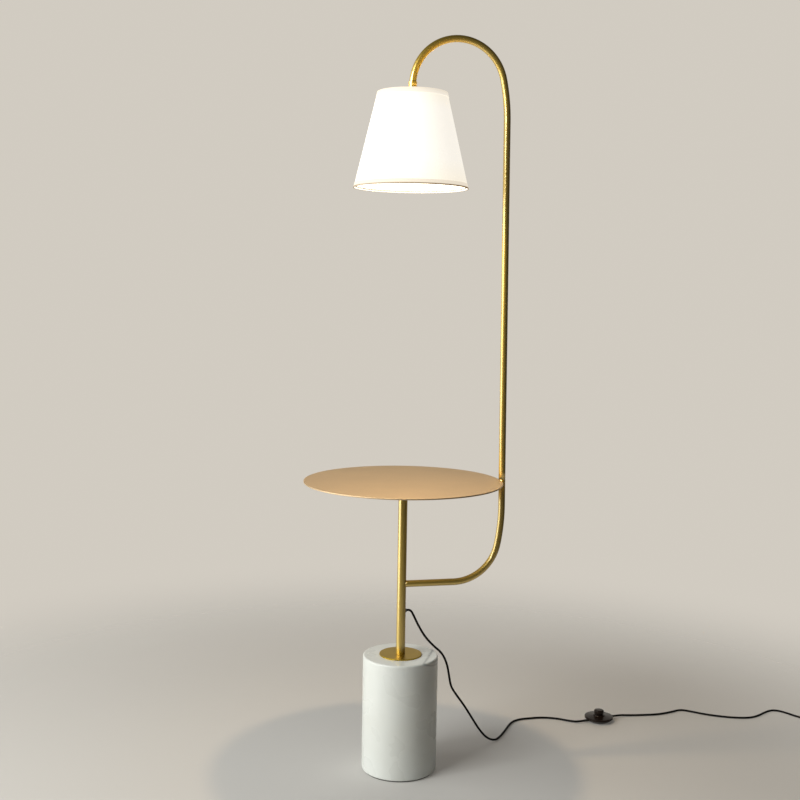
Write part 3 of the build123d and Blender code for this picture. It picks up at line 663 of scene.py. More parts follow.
def linen():
    """Fabric of the shade, lit warmer at its foot and its top."""
    own = colours()
    warm = (own.glow[0], own.glow[1] * 0.96, own.glow[2] * 0.88)
    glow = ((0.0, warm), (0.28, own.glow), (0.8, own.glow), (1.0, warm))
    return woven("shade_linen", own.fabric, glow, 0.92, sizes().thread_pitch, 0.9)


def tape():
    """Tape on the shade's edges, glowing with the shade's light; its lower fold gets painted shade, a dark
    brown glow.
    """
    painted_fold_shade, cream, pale = (0.2, 0.12, 0.055), (0.84, 0.75, 0.62), (1.0, 0.955, 0.87)
    # The first two stops paint shade on the tape's lower fold as a dark brown glow.
    glow = ((0.0, painted_fold_shade), (0.011, painted_fold_shade), (0.017, cream), (0.5, cream), (0.9, pale), (1.0, cream))
    return woven("edge_tape", colours().trim, glow, 0.95, 0.0011, 0.85)


def marble():
    """Polished white stone: faint clouds, thin veins where a bent wave crosses its middle, and one streak.

    The streak lies where the dot product of the place and a slope, bent by the clouds, is close to one value.
    """
    own = colours()
    slope, streak_at = (0.9, -0.44, 1.6), 0.4815
    made, tree, shader = plain("white_marble")
    place = object_place(tree)
    turn = add(
        tree, "ShaderNodeMapping", Vector=place, Rotation=(0.35, 0.5, 0.6), Location=(0.03, 0.02, 0.05)
    ).outputs["Vector"]
    cloud = noise(tree, turn, 7.0, Detail=3.0, Roughness=0.45, Distortion=0.6)
    warmer = (own.marble[0] * 0.99, own.marble[1] * 0.975, own.marble[2] * 0.95)
    ground = blend(tree, ranged(tree, cloud, 0.42, 0.72), tint(own.marble), tint(warmer, 0.95))
    wave = add(tree, "ShaderNodeTexWave", Vector=turn, Scale=3.4, Distortion=6.0, Detail=3.0, Detail_Scale=1.4)
    off = maths(tree, "ABSOLUTE", maths(tree, "SUBTRACT", wave.outputs["Fac"], 0.5))
    line = ranged(tree, off, 0.0, 0.06, 1.0, 0.0, "SMOOTHSTEP")
    here = ranged(tree, noise(tree, place, 6.0, Detail=2.0), 0.55, 0.8, 0.0, 0.16)
    across = add(tree, "ShaderNodeVectorMath", operation="DOT_PRODUCT")
    for socket, value in zip(across.inputs, (place, slope)):
        put(tree, socket, value)
    bent = maths(tree, "MULTIPLY_ADD", cloud, 0.018, across.outputs["Value"])
    beside = maths(tree, "ABSOLUTE", maths(tree, "SUBTRACT", bent, streak_at))
    streak = ranged(tree, beside, 0.0, 0.005, 0.6, 0.0, "SMOOTHSTEP")
    veins = maths(tree, "MAXIMUM", maths(tree, "MULTIPLY", line, here), streak)
    fine = use_group(tree, "Grain", Vector=place, Scale=14.0, Smooth=0.26, Rough=0.3)
    feed(tree, shader, Base_Color=blend(tree, veins, ground, tint(own.vein)), Roughness=fine["Roughness"])
    return made


# Name, colour or its setting, the clouds' darker share and scale, least and most roughness, the grain's scale
# and relief, and the shader's even values
METAL = {"Metallic": 1.0}
LACQUER = {"Metallic": 0.8, "Coat_Weight": 1.0, "Coat_Roughness": 0.24, "Coat_IOR": 2.2}
LIT_LINING = {"Emission_Color": (1.0, 0.93, 0.8, 1.0), "Emission_Strength": 1.35}
LIT_GLASS = {"Emission_Color": (1.0, 0.94, 0.84, 1.0), "Emission_Strength": 1.5}
FINISHES = {
    "brass": ("satin_brass", "brass", 0.95, 9, 0.34, 0.38, 1400, 0.01, LACQUER),
    "flange": ("plain_brass", "flange", 0.9, 30, 0.34, 0.42, 500, 0.02, METAL),
    "table": ("satin_table", "table", 0.95, 11, 0.54, 0.6, 900, 0.03, METAL),
    "liner": ("shade_lining", (0.9, 0.88, 0.82), 0.97, 30, 0.45, 0.55, 500, 0.03, LIT_LINING),
    "bulb": ("frosted_bulb", (0.95, 0.93, 0.88), 0.97, 40, 0.4, 0.5, 900, 0.02, LIT_GLASS),
    "felt": ("black_felt", (0.02, 0.02, 0.02), 0.5, 300, 0.9, 1.0, 1800, 0.6, {}),
    "steel": ("zinc_steel", (0.55, 0.56, 0.57), 0.8, 60, 0.25, 0.42, 1200, 0.05, METAL),
    "contact": ("contact_brass", (0.7, 0.52, 0.22), 0.85, 70, 0.22, 0.36, 1500, 0.04, METAL),
    "rubber": ("moulded_rubber", (0.014, 0.014, 0.014), 0.7, 80, 0.5, 0.66, 1600, 0.08, {}),
    "cord": ("cord_sheath", "cord", 0.7, 60, 0.55, 0.68, 1400, 0.06, {"Specular_IOR_Level": 0.12}),
    "switch": ("dark_gloss_plastic", "switch", 0.75, 50, 0.18, 0.26, 1100, 0.02, {"Specular_IOR_Level": 0.2}),
    "plug": ("moulded_plastic", (0.016, 0.016, 0.016), 0.75, 70, 0.42, 0.55, 1500, 0.06, {}),
    "tie": ("tie_plastic", (0.02, 0.02, 0.02), 0.7, 90, 0.4, 0.55, 1500, 0.05, {}),
    "white": ("white_powder_coat", (0.76, 0.74, 0.68), 0.93, 90, 0.4, 0.55, 1600, 0.12, {}),
    "porcelain": ("glazed_porcelain", (0.78, 0.77, 0.73), 0.95, 60, 0.1, 0.18, 900, 0.02, {}),
    "card": ("pressed_card", (0.24, 0.16, 0.09), 0.75, 140, 0.8, 0.95, 1500, 0.2, {}),
    "alloy": ("pressed_aluminium", (0.66, 0.66, 0.67), 0.88, 60, 0.26, 0.4, 1300, 0.04, METAL),
}
SPECIAL = {"marble": marble, "fabric": linen, "trim": tape}
STORE = {}


def paint(name):
    """Material by its finish's name, made on first use."""
    if name not in STORE:
        if name in SPECIAL:
            STORE[name] = SPECIAL[name]()
        else:
            label, colour, *looks, values = FINISHES[name]
            colour = getattr(colours(), colour) if isinstance(colour, str) else colour
            STORE[name] = finish(label, colour, *looks, **values)
    return STORE[name]


def place_piece(piece, finish_name, slot, *nodes, body="lamp"):
    """Gives a piece its finish and its body, and hides the solids that it stands for."""
    piece.data.materials.append(paint(finish_name))
    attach(piece, body)
    if nodes:
        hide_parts(*nodes)
    return piece


def dress(finish_name, *nodes):
    """Gives solids that stay in view their finish."""
    for node in nodes:
        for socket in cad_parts[node].material_slots:
            socket.material = paint(finish_name)


# Operators, one for each piece or group of like pieces


class LAMP_OT_base(bpy.types.Operator):
    """Marble drum with its rod hole and nut pocket, the felt under it and the brass flange on it."""

    bl_idname = "lamp.base"
    bl_label = "Base"

    def execute(self, context):
        edge = sizes().base_edge
        low, high = span("marble_base")
        bore, pocket, ceiling, outer = 0.007, 0.028, 0.032, high[0]
        outline = rounded(
            [(pocket, low[2]), (outer, low[2]), (outer, high[2]), (bore, high[2]), (bore, ceiling),
             (pocket, ceiling)],
            [0.0005, edge, edge, 0.0004, 0.0004, 0.001],
            8,
        )
        place_piece(turned("marble_drum", outline), "marble", "marble", "marble_base")
        low, high = span("base_flange")
        outline = washer(ROD_HOLE, high[0], low[2], high[2], [0.0002, 0.0003, 0.0006, 0.0002])
        place_piece(turned("flange_disc", outline), "flange", "brass", "base_flange")
        dress("felt", "felt_pad")
        return {"FINISHED"}


class LAMP_OT_stem(bpy.types.Operator):
    """Stem tube, and the finish of the bush where the cord leaves it."""

    bl_idname = "lamp.stem"
    bl_label = "Stem"

    def execute(self, context):
        low, high = span("stem_tube")
        outer, wall = high[0], 0.0015
        outline = washer(outer - wall, outer, low[2], high[2], [0.0002] * 4)
        place_piece(turned("stem_post", outline, sides=96), "brass", "brass", "stem_tube")
        dress("rubber", "cord_grommet")
        return {"FINISHED"}


class LAMP_OT_pole(bpy.types.Operator):
    """Arm with its bend, and the pole with the gooseneck, as tubes along straight runs and tangent arcs."""

    bl_idname = "lamp.pole"
    bl_label = "Arm and Pole"

    def execute(self, context):
        own = sizes()
        tight, wide, lean, turn = own.bend_radius, own.lead_radius, own.pole_lean, own.lead_turn
        seam = span("arm_tube")[1][2] - own.tube_dia / 2 * math.sin(lean)
        near, far = bend_centres(own.arm_height + tight, -turn)
        arm = np.vstack([
            line_points((0.005, 0, own.arm_height), (near[0], 0, own.arm_height), 12),
            arc_points(near, tight, -math.pi / 2, lean - turn, 64)[:-1],
            arc_points(far, wide, lean - turn, lean, 24),
            [(pole_x(seam), 0, seam)],
        ])
        near, far = bend_centres(span("neck_tube")[1][2] - own.tube_dia / 2 - tight, turn)
        start = far[1] + wide * math.sin(lean)
        neck = np.vstack([
            line_points((pole_x(seam), 0, seam), (pole_x(start), 0, start), 40),
            arc_points(far, wide, lean, lean + turn, 32)[:-1],
            arc_points(near, tight, lean + turn, math.pi, 128),
            [(near[0] - tight, 0, span("neck_plug")[0][2])],
        ])
        for name, path, node in (("arm_bend", arm, "arm_tube"), ("pole_gooseneck", neck, "neck_tube")):
            place_piece(bent_tube(name, path, own.tube_dia, own.tube_bore), "brass", "brass", node)
        return {"FINISHED"}


class LAMP_OT_table(bpy.types.Operator):
    """Round table with a rounded rim, and the finish of the plate, studs and nuts under it."""

    bl_idname = "lamp.table"
    bl_label = "Table"

    def execute(self, context):
        edge = sizes().table_edge
        low, high = span("table_top")
        corners = [(0, low[2]), (high[0], low[2]), (high[0], high[2]), (0, high[2])]
        outline = rounded(corners, [0, edge, edge, 0], 6, closed=False)
        place_piece(turned("table_disc", outline, closed=False, sides=400), "table", "table", "table_top")
        dress("steel", "table_hub", "table_studs", "table_nuts")
        return {"FINISHED"}


class LAMP_OT_collar(bpy.types.Operator):
    """Turned collar at the end of the gooseneck."""

    bl_idname = "lamp.collar"
    bl_label = "Collar"

    def execute(self, context):
        axis, _, floor, top = round_span("neck_collar")
        band, groove, foot, bore = 0.0092, 0.0082, 0.012, 0.0079
        upper, lower, plate = top - 0.006, top - 0.0083, floor + 0.003
        outline = rounded(
            [(ROD_HOLE, floor), (foot, floor), (foot, plate), (band, lower - 0.0065), (band, lower),
             (groove, lower), (groove, upper), (band, upper), (band, top), (bore, top), (bore, plate),
             (ROD_HOLE, plate)],
            [0.0002, 0.0004, 0.001, 0.003, 0.0003, 0.0002, 0.0002, 0.0003, 0.0005, 0.0002, 0.0002, 0.0002],
        )
        place_piece(turned("collar_cup", outline, axis), "brass", "brass", "neck_collar")
        dress("steel", "neck_plug", "neck_nipple")
        return {"FINISHED"}


class LAMP_OT_shade(bpy.types.Operator):
    """Shade: fabric over a lining, a lapped seam at the back, tape on both edges, wire rings and a spider."""

    bl_idname = "lamp.shade"
    bl_label = "Shade"

    def execute(self, context):
        low, high = span("shade_fabric")
        self.axis = ((low[0] + high[0]) / 2, 0.0)
        self.low, self.high = low[2], high[2]
        self.wide, self.narrow = high[1], 0.074
        heights = np.linspace(self.low, self.high, 24)
        for name, inset, look, node in (
            ("fabric_cone", 0.0, "fabric", "shade_fabric"),
            ("lining_cone", 0.0007, "liner", "shade_liner"),
        ):
            outline = thin_wall(self.radius(heights) - inset, heights, 0.0006)
            place_piece(turned(name, outline, self.axis, weave=True), look, look, node)
        self.tape("top_tape", self.high, -1, "shade_top_trim")
        self.tape("bottom_tape", self.low, 1, "shade_bottom_trim")
        self.seam()
        for node in ("shade_top_ring", "shade_bottom_ring"):
            self.ring(node)
        dress("white", "shade_spider")
        return {"FINISHED"}

    def radius(self, height):
        """Outside of the fabric at a height: it widens evenly from top to bottom."""
        return self.narrow + (self.wide - self.narrow) * (self.high - height) / (self.high - self.low)

    def tape(self, name, edge, inward, node):
        """Tape along one edge, folded over it: its section is an L with soft corners."""
        outside, inside, depth = 0.0006, 0.0001, 0.0014
        end, fold = edge + inward * 0.01, edge - inward * 0.0005
        at_edge, at_end = self.radius(edge), self.radius(end)
        outline = rounded(
            [(at_edge + outside, fold), (at_end + outside, end), (at_end + inside, end),
             (at_edge + inside, edge), (at_edge - depth, edge), (at_edge - depth, fold)],
            [0.0003, 0.0002, 0.0001, 0.0001, 0.0001, 0.0002],
            3,
        )
        place_piece(turned(name, outline, self.axis, weave=True), "trim", "trim", node)

    def seam(self):
        """Lap of the fabric at the back: a strip on the cone, thin at its edges."""
        half, clear, lap = 0.006, 0.011, 0.00035
        across = np.linspace(-1, 1, 13)
        heights = np.linspace(self.low + clear, self.high - clear, 40)
        cone = self.radius(heights)[None]
        turn = math.pi / 2 + across[:, None] * half / cone
        lift = 0.00005 + lap * np.sqrt(np.maximum(0, 1 - across**4))[:, None]
        radius = np.vstack([cone + lift, cone - 0.0002 + 0 * lift])
        turn = np.vstack([turn, turn[::-1]])
        x, y = self.axis[0] + radius * np.cos(turn), radius * np.sin(turn)
        grid = np.stack([x, y, heights[None] + 0 * radius], -1)
        runs = np.linspace(0, 4 * half, len(grid) + 1)
        place_piece(surface("fabric_seam", grid, (True, False), uv=(runs, heights)), "fabric", "fabric")

    def ring(self, node):
        """Wire ring: a circle carried round the shade's axis."""
        low, high = span(node)
        wire = (high[2] - low[2]) / 2
        turn = round_angles(20)
        x, y = high[1] - wire + wire * np.cos(turn), (low[2] + high[2]) / 2 + wire * np.sin(turn)
        piece = turned(node.replace("shade_", "wire_"), np.stack([x, y], 1), self.axis)
        place_piece(piece, "white", "white_paint", node)


class LAMP_OT_socket(bpy.types.Operator):
    """Lamp socket: cap and shell with rolled beads, and the finishes of what the tubes and the socket hold."""

    bl_idname = "lamp.socket"
    bl_label = "Socket"

    def execute(self, context):
        axis, outer, foot, top = round_span("socket_cap")
        wall, lip = 0.0008, 0.0003
        inner, under = outer - wall, top - wall
        outline = rounded(
            [(inner, foot), (outer, foot), (outer, top), (ROD_HOLE, top), (ROD_HOLE, under), (inner, under)],
            [0.0002, 0.0003, 0.007, 0.0002, 0.0002, 0.0062],
            8,
        )
        place_piece(turned("cap_dome", outline, axis), "brass", "brass", "socket_cap")
        _, outer, foot, top = round_span("socket_shell")
        heights = np.linspace(foot, top, 80)
        bead = 0.00035 * np.exp(-(((heights - foot - 0.004) / 0.0009) ** 2))
        groove = 0.0003 * np.exp(-(((heights - top + 0.011) / 0.0008) ** 2))
        outline = thin_wall(outer - lip + bead - groove, heights, 0.0006)
        place_piece(turned("shell_sleeve", outline, axis), "brass", "brass", "socket_shell")
        _, outer, foot, top = round_span("socket_screw_shell")
        outline = thin_wall(outer - lip, np.linspace(foot, top, 120), 0.0002)
        piece = turned("screw_shell", outline, axis, ripple=thread(0.00025))
        place_piece(piece, "alloy", "aluminium", "socket_screw_shell")
        dress("steel", "cap_nut", "socket_terminals", "pole_coupling", "stem_foot_plug", "stem_head_plug")
        dress("steel", "tie_rod", "base_washer", "base_lock_washer", "base_nut")
        dress("card", "socket_liner")
        dress("porcelain", "socket_body")
        dress("contact", "socket_contact")
        dress("cord", "internal_lead")
        return {"FINISHED"}


class LAMP_OT_bulb(bpy.types.Operator):
    """Frosted bulb: a ball blended into a neck, and a screw cap with a rolled thread.

    The blend is an arc of radius b that touches the neck and the ball: its centre is at n + b from the axis
    and sqrt((r + b)^2 - (n + b)^2) above the ball's centre, with n the neck's radius and r the ball's.
    """

    bl_idname = "lamp.bulb"
    bl_label = "Bulb"

    def profile(self, inset, top, bottom):
        """Outline of the ball, the blend and the neck, moved inwards by an inset."""
        whole = 0.03
        ball, neck, blend_radius = whole - inset, 0.0122 - inset, 0.04 + inset
        middle, reach = bottom + whole, neck + blend_radius
        rise = math.sqrt((ball + blend_radius) ** 2 - reach**2)
        turn = math.atan2(rise, reach)
        bow = np.linspace(turn, 0, 24)
        side = np.stack([reach - blend_radius * np.cos(bow), middle + rise - blend_radius * np.sin(bow)], 1)
        swell = np.linspace(-math.pi / 2, turn, 48)
        round_end = np.stack([ball * np.cos(swell), middle + ball * np.sin(swell)], 1)
        return np.vstack([round_end, side[1:], [(neck, top)]])

    def execute(self, context):
        axis, _, foot, top = round_span("bulb_glass")
        outline = np.vstack([self.profile(0.0, top, foot), self.profile(0.0008, top, foot)[::-1]])
        glass = turned("bulb_envelope", outline, axis, closed=False)
        place_piece(glass, "bulb", "bulb", "bulb_glass").visible_shadow = False
        _, outer, foot, top = round_span("bulb_cap")
        wall, crest, tip, rows = 0.0004, 0.0004, 0.0045, 120
        side = thin_wall(outer - crest, np.linspace(foot, top - 0.0035, rows), wall)
        end = [(tip, top), (0.0, top), (0.0, top - wall), (tip, top - wall)]
        outline = np.vstack([side[:rows], end, side[rows:]])
        ripple = thread(0.00035, foot + 0.002, top - 0.006)
        piece = turned("bulb_thread", outline, axis, closed=False, ripple=ripple)
        place_piece(piece, "alloy", "aluminium", "bulb_cap")
        dress("steel", "bulb_tip")
        return {"FINISHED"}


class LAMP_OT_switch(bpy.types.Operator):
    """Foot switch: saucer, brimmed cover, domed button, spring, ribbed cord bushes and what it holds."""

    bl_idname = "lamp.switch"
    bl_label = "Foot Switch"

    def execute(self, context):
        low, high = span("switch_base")
        axis = tuple((low[:2] + high[:2]) / 2)
        rim = (high[0] - low[0]) / 2
        inner, foot, floor, flare, seam = rim - 0.002, 0.001, 0.003, 0.008, 0.01
        outline = rounded(
            [(0, foot), (0.026, foot), (rim, flare), (rim, seam), (inner, seam), (inner, flare),
             (0.024, floor), (0, floor)],
            [0, 0.003, 0.0012, 0.0003, 0.0003, 0.001, 0.002, 0],
            closed=False,
        )
        saucer = turned("switch_saucer", outline, axis, closed=False)
        place_piece(saucer, "switch", "switch_shell", "switch_base")
        well, collar, brow, ceiling = 0.00975, 0.015, 0.0166, 0.0122
        outline = rounded(
            [(inner, seam), (rim, seam), (rim, 0.0116), (inner, 0.0124), (collar, 0.0142), (0.0134, brow),
             (well, brow), (well, ceiling), (collar, ceiling), (inner, 0.0106)],
            [0.0002, 0.0003, 0.0008, 0.0008, 0.002, 0.0008, 0.0005, 0.0002, 0.0006, 0.0003],
        )
        place_piece(turned("switch_lid", outline, axis), "switch", "switch_shell", "switch_cover")
        low, high = span("switch_button")
        skirt, stalk, cap, ledge, neck, top = 0.0122, 0.0095, 0.012, low[2] + 0.002, 0.02, high[2]
        outline = rounded(
            [(0, low[2]), (skirt, low[2]), (skirt, ledge), (stalk, ledge), (stalk, neck), (cap, neck),
             (cap, top - 0.0006), (0.007, top), (0, top)],
            [0, 0.0003, 0.0003, 0.0002, 0.0003, 0.0006, 0.0034, 0.004, 0],
            8,
            closed=False,
        )
        button = turned("switch_knob", outline, axis, closed=False)
        place_piece(button, "switch", "switch_shell", "switch_button", body="foot_button")
        self.bushes(axis)
        self.spring(axis)
        dress("contact", "switch_contacts")
        dress("steel", "switch_screws")
        dress("rubber", "switch_feet")
        return {"FINISHED"}

    def bushes(self, axis):
        """Ribbed cones along the cord: the radius falls evenly and dips at each rib's edge."""
        length, pitch = 0.015, 0.0025
        along = np.linspace(0, length, 90)
        dip = 0.0003 * (np.cos(2 * math.pi * along / pitch) < -0.3) * (along > 0.006) * (along < 0.0142)
        outline = rod(0.0034 - 0.0004 * along / length - dip, along)
        for name, half in (("switch_bush_a", 0), ("switch_bush_b", math.pi)):
            turn = Matrix.Rotation(sizes().switch_turn + half, 4, "Z") @ Matrix.Rotation(math.pi / 2, 4, "Y")
            place = Matrix.Translation((*axis, ENTRY_HEIGHT)) @ turn @ Matrix.Translation((0, 0, 0.027))
            piece = turned(name, outline, closed=False, place=place, sides=48)
            place_piece(piece, "rubber", "rubber", "switch_bushes")

    def spring(self, axis):
        """Spring under the button: a circle carried up a helix, on a mesh of its own."""
        low, high = span("switch_spring")
        wire, coil, turns, travel = 0.0004, 0.0065, 3, 0.0031
        turn = sizes().switch_turn + np.linspace(0, 2 * math.pi * turns, 24 * turns + 1)
        height = np.linspace(low[2] + wire, high[2] - wire, len(turn))
        out = np.stack([np.cos(turn), np.sin(turn), 0 * turn], 1)
        line = np.stack([axis[0] + coil * out[:, 0], axis[1] + coil * out[:, 1], height], 1)
        ring = rings(out, (0, 0, 1), 12)
        ends = np.repeat(line[[0, -1]][:, None], ring.shape[1], axis=1)
        grid = np.vstack([ends[:1], line[:, None] + wire * ring, ends[1:]])
        piece = place_piece(surface("spring_coil", grid, (False, True)), "steel", "steel", "switch_spring")
        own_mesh(piece)


class LAMP_OT_plug(bpy.types.Operator):
    """Mains plug with a ribbed sleeve, and the band that ties the coil."""

    bl_idname = "lamp.plug"
    bl_label = "Plug and Tie"

    def execute(self, context):
        way = Vector(PLUG_WAY).normalized()
        side = Vector((way.y, -way.x, 0))
        end = coil_points()[-1] + np.array(way) * PLUG_GAP
        place = Matrix((
            (side.x, 0, way.x, end[0]), (side.y, 0, way.y, end[1]), (0, 1, 0, end[2]), (0, 0, 0, 1),
        ))
        length = 0.024
        self.sleeve(place, length)
        self.shell(place, length)
        dress("contact", "plug_blades")
        self.band()
        return {"FINISHED"}

    def sleeve(self, place, length):
        """Strain relief: a cone with rings cut into it."""
        along = np.linspace(0, length, 140)
        cut = 0.0007 * (np.sin(2 * math.pi * along / 0.004) > 0.35) * (along > 0.002) * (along < 0.022)
        outline = rod(0.0033 + 0.0017 * along / length - cut, along)
        piece = turned("plug_sleeve", outline, closed=False, place=place, sides=48)
        place_piece(piece, "rubber", "rubber", "plug_relief")

    def shell(self, place, start):
        """Plug body: rounded oblongs along the plug, |x / a|^n + |y / b|^n = 1, with grooves for fingers."""
        length = 0.026
        along = np.linspace(0, 1, 90)
        ease = np.clip(along / 0.46, 0, 1)
        ease = ease**2 * (3 - 2 * ease)
        face = np.sqrt(np.maximum(0, 1 - np.clip((along - 0.955) / 0.045, 0, 1) ** 2))
        rear = np.sqrt(np.maximum(0, 1 - np.clip((0.03 - along) / 0.03, 0, 1) ** 2))
        draw = 0.0015 * (1 - face) + 0.002 * (1 - rear)
        wide, thick = 0.0075 + 0.006 * ease - draw, 0.006 + 0.003 * ease - draw
        grip = 0.0005 * np.maximum(0, np.sin(2 * math.pi * along / 0.085)) * (along > 0.5) * (along < 0.9)
        turn = round_angles(96)
        x, y = oblong(turn, 2 / 3.2)
        width = wide[:, None] - grip[:, None] * np.abs(np.cos(turn))[None] ** 6
        depth = start + length * along[:, None] + 0 * x[None]
        grid = np.stack([width * x[None], thick[:, None] * y[None], depth], -1)
        ends = [np.stack([0 * x, 0 * x, np.full_like(x, z)], -1)[None] for z in (start, start + length)]
        grid = moved(np.vstack([ends[0], grid, ends[1]]), place)
        place_piece(surface("plug_shell", grid, (False, True)), "plug", "plug", "plug_body")

    def band(self):
        """Tie: a flat strip carried round the four turns on a rounded square."""
        low, high = span("coil_tie")
        thick, broad, turn = 0.0003, 0.003, math.radians(137)
        out, along = (math.cos(turn), math.sin(turn), 0), (-math.sin(turn), math.cos(turn), 0)
        section = washer(-thick, thick, -broad, broad, [0.00025] * 4, 3)
        half = (high[2] - low[2]) / 2 - thick
        angle = round_angles(120)[:, None]
        c, s = oblong(angle, 2 / 5)
        x = half * c + section[:, 0][None] * np.cos(angle)
        z = half * s + section[:, 0][None] * np.sin(angle)
        y = section[:, 1][None] + 0 * x
        grid = (low + high) / 2 + sum(
            part[..., None] * np.array(way) for part, way in ((x, out), (y, along), (z, (0, 0, 1)))
        )
        place_piece(surface("coil_band", grid), "tie", "tie", "coil_tie")


class LAMP_OT_cords(bpy.types.Operator):
    """Cord from the stem to the switch, and from the switch to the tied coil and the plug."""

    bl_idname = "lamp.cords"
    bl_label = "Cords"

    def execute(self, context):
        own = sizes()
        way = (math.cos(own.cord_exit_turn), math.sin(own.cord_exit_turn))
        lie, inside, outside = own.cord_dia / 2 + 0.0001, 0.042, 0.062
        low, high = span("switch_base")
        entry = np.array([*(low + high)[:2] / 2, ENTRY_HEIGHT])
        run = np.array([math.cos(own.switch_turn), math.sin(own.switch_turn), 0])
        hang = [(0.0112, own.cord_exit_height)] + HANG_ROUTE
        points = [(reach * way[0], reach * way[1], height) for reach, height in hang]
        points += [(x, y, lie) for x, y in FLOOR_ROUTE]
        points += [tuple(entry - run * outside), tuple(entry - run * inside)]
        first = self.line("cord_from_stem", points)
        place_piece(first, "cord", "cord", "cord_to_switch")
        coil = coil_points()
        lead = coil[1] - coil[0]
        lead = np.array([lead[0], lead[1], 0]) / np.linalg.norm(lead[:2])
        tail = coil[-1] + np.array(PLUG_WAY) * PLUG_GAP
        points = [tuple(entry + run * inside), tuple(entry + run * outside)]
        points += [(x, y, lie) for x, y in AWAY_ROUTE]
        points += [tuple(spot) for spot in (coil[0] - lead * 0.025, *coil, tail)]
        second = self.line("cord_from_switch", points)
        place_piece(second, "cord", "cord", "cord_to_plug", "cord_coil")
        return {"FINISHED"}

    def line(self, name, points):
        """Smooth curve with the route's points as control points, drawn as a round cord."""
        curve = bpy.data.curves.new(name, "CURVE")
        curve.dimensions = "3D"
        curve.bevel_depth = sizes().cord_dia / 2
        curve.bevel_resolution = 5
        curve.use_fill_caps = True
        spline = curve.splines.new("NURBS")
        spline.points.add(len(points) - 1)
        weighted = np.hstack([np.array(points), np.ones((len(points), 1))])
        spline.points.foreach_set("co", weighted.astype(np.float32).ravel())
        spline.order_u = 3
        spline.use_endpoint_u = True
        spline.resolution_u = 10
        return link(bpy.data.objects.new(name, curve))


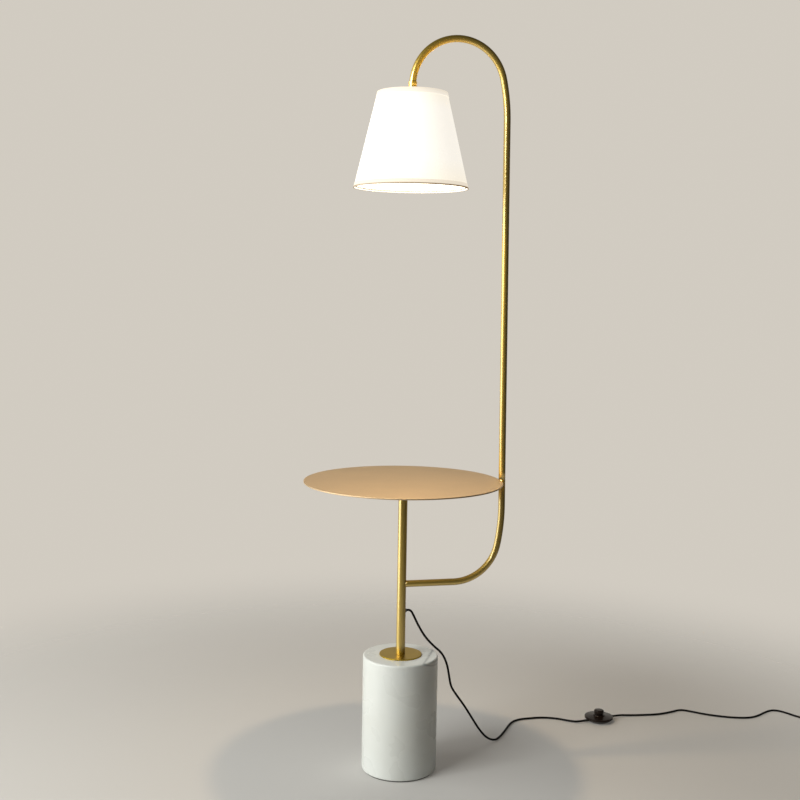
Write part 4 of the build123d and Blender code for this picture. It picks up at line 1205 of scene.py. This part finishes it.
class LAMP_OT_stage(bpy.types.Operator):
    """Pale floor that fades into the background, soft lights, the lamp's own light and the camera."""

    bl_idname = "lamp.stage"
    bl_label = "Stage"

    def execute(self, context):
        own = context.scene.lamp_stage
        self.turn = Matrix.Rotation(-own.view_turn, 3, "Z")
        self.floor(own)
        self.world(context, own)
        for name, place, target, size, power, colour, unseen in SOFT_LIGHTS:
            holder = self.soft_light(name, place, target, size, getattr(own, power), colour)
            if unseen:
                holder.visible_camera = holder.visible_glossy = False
        self.bulb(own)
        self.camera(context, own)
        context.scene.view_settings.view_transform = "Standard"
        return {"FINISHED"}

    def floor(self, own):
        """Round floor whose edge fades out."""
        ring = np.concatenate([[0], np.geomspace(0.05, 4.5, 40)])
        angle = round_angles(96)[:, None]
        grid = np.stack([ring * np.cos(angle), ring * np.sin(angle), 0 * ring - 0.0002 + 0 * angle], -1)
        piece = surface("floor", grid, (True, False))
        for face in piece.data.polygons:
            if face.normal.z < 0:
                face.flip()
        made, tree, shader = plain(
            "floor_pale", Base_Color=tint(own.floor), Roughness=0.85, Emission_Color=tint(own.backdrop)
        )
        path = add(tree, "ShaderNodeLightPath").outputs
        clear = maths(tree, "MAXIMUM", path["Is Glossy Ray"], path["Is Transmission Ray"])
        eye = maths(tree, "MAXIMUM", path["Is Camera Ray"], clear)
        reach = add(tree, "ShaderNodeVectorMath", operation="LENGTH", Vector=object_place(tree))
        fade = ranged(tree, reach.outputs["Value"], 0.5, 2.0, 1.0, 0.0, "SMOOTHERSTEP")
        feed(tree, shader, Emission_Strength=maths(tree, "MULTIPLY", eye, own.floor_lift), Alpha=fade)
        piece.data.materials.append(made)

    def world(self, context, own):
        """Even pale background for the eye; metal sees it darker on the right, in front and above."""
        world = bpy.data.worlds.new("studio")
        context.scene.world = world
        world.use_nodes = True
        tree = world.node_tree
        path = add(tree, "ShaderNodeLightPath").outputs
        way = add(tree, "ShaderNodeTexCoord").outputs["Generated"]
        turn = add(tree, "ShaderNodeMapping", Vector=way, Rotation=(0, 0, own.view_turn))
        split = add(tree, "ShaderNodeSeparateXYZ", Vector=turn.outputs["Vector"]).outputs
        side = ranged(tree, split["X"], 0.3, 0.9, 1.0, 0.07)
        front = ranged(tree, split["Y"], -0.9, 0.0, 0.15, 1.0)
        above = ranged(tree, split["Z"], 0.3, 0.75, 1.0, 0.08)
        mirrored = maths(tree, "MULTIPLY", maths(tree, "MULTIPLY", side, front), above)
        even = blend(tree, path["Is Glossy Ray"], own.ambient, mirrored, "FLOAT")
        seen = maths(tree, "MAXIMUM", path["Is Camera Ray"], path["Is Transmission Ray"])
        strength = blend(tree, seen, even, 1.0, "FLOAT")
        feed(tree, tree.nodes["Background"], Strength=strength, Color=tint(own.backdrop))

    def soft_light(self, name, place, target, size, power, colour):
        """Oblong soft light that faces a target; both are given as seen from the camera's side."""
        light = bpy.data.lights.new(name, "AREA")
        light.shape = "RECTANGLE"
        light.size, light.size_y = size
        light.energy, light.color = power, colour
        place, target = self.turn @ Vector(place), self.turn @ Vector(target)
        holder = link(bpy.data.objects.new(name, light))
        holder.location = place
        holder.rotation_euler = (target - place).to_track_quat("-Z", "Y").to_euler()
        return holder

    def bulb(self, own):
        """Warm light of the bulb: a cone of it leaves the shade's mouth, and a disc of it leaves the top."""
        axis, _, foot, _ = round_span("bulb_glass")
        mouth = bpy.data.lights.new("mouth_light", "SPOT")
        mouth.energy, mouth.color = own.bulb_power, (1.0, 0.74, 0.44)
        mouth.shadow_soft_size = 0.028
        mouth.spot_size, mouth.spot_blend = math.radians(112), 0.6
        top = bpy.data.lights.new("top_light", "AREA")
        top.energy, top.color = own.bulb_power / 30, (1.0, 0.72, 0.42)
        top.shape, top.size, top.spread = "DISK", 0.13, math.radians(100)
        heights = (foot + 0.03, span("shade_top_trim")[1][2])
        for light, height, tilt in zip((mouth, top), heights, (0.0, math.pi)):
            holder = link(bpy.data.objects.new(light.name, light))
            holder.location, holder.rotation_euler = (*axis, height), (tilt, 0, 0)
            holder.visible_camera = False

    def camera(self, context, own):
        """Camera at the photograph's place, tilted down and turned a little about its own axis."""
        lens = bpy.data.cameras.new("camera")
        lens.lens, lens.sensor_width = own.view_lens, 36
        holder = link(bpy.data.objects.new("camera", lens))
        holder.location = self.turn @ Vector((own.view_aside, -own.view_distance, own.view_height))
        look = self.turn @ Euler((math.pi / 2 - own.view_tilt, 0, 0)).to_matrix()
        holder.rotation_euler = (look @ Matrix.Rotation(own.view_roll, 3, "Z")).to_euler()
        context.scene.camera = holder


class LAMP_PT_panel(bpy.types.Panel):
    """Lists the steps that build the lamp."""

    bl_idname = "LAMP_PT_panel"
    bl_label = "Shelf Floor Lamp"
    bl_space_type = "VIEW_3D"
    bl_region_type = "UI"
    bl_category = "Lamp"

    def draw(self, context):
        for step in STEPS:
            self.layout.operator(step.bl_idname)
        for settings in (context.scene.lamp_sizes, context.scene.lamp_colours, context.scene.lamp_stage):
            box = self.layout.box()
            for name in settings.__annotations__:
                box.prop(settings, name)


STEPS = (
    LAMP_OT_base,
    LAMP_OT_stem,
    LAMP_OT_pole,
    LAMP_OT_table,
    LAMP_OT_collar,
    LAMP_OT_shade,
    LAMP_OT_socket,
    LAMP_OT_bulb,
    LAMP_OT_switch,
    LAMP_OT_plug,
    LAMP_OT_cords,
    LAMP_OT_stage,
)
CLASSES = (LampSizes, LampColours, LampStage, *STEPS, LAMP_PT_panel)


def register():
    for kind in CLASSES:
        bpy.utils.register_class(kind)
    bpy.types.Scene.lamp_sizes = PointerProperty(type=LampSizes)
    bpy.types.Scene.lamp_colours = PointerProperty(type=LampColours)
    bpy.types.Scene.lamp_stage = PointerProperty(type=LampStage)


def unregister():
    del bpy.types.Scene.lamp_stage
    del bpy.types.Scene.lamp_colours
    del bpy.types.Scene.lamp_sizes
    for kind in reversed(CLASSES):
        bpy.utils.unregister_class(kind)


def main():
    register()
    bpy.ops.lamp.base()
    bpy.ops.lamp.stem()
    bpy.ops.lamp.pole()
    bpy.ops.lamp.table()
    bpy.ops.lamp.collar()
    bpy.ops.lamp.shade()
    bpy.ops.lamp.socket()
    bpy.ops.lamp.bulb()
    bpy.ops.lamp.switch()
    bpy.ops.lamp.plug()
    bpy.ops.lamp.cords()
    bpy.ops.lamp.stage()


if __name__ == "__main__":
    main()
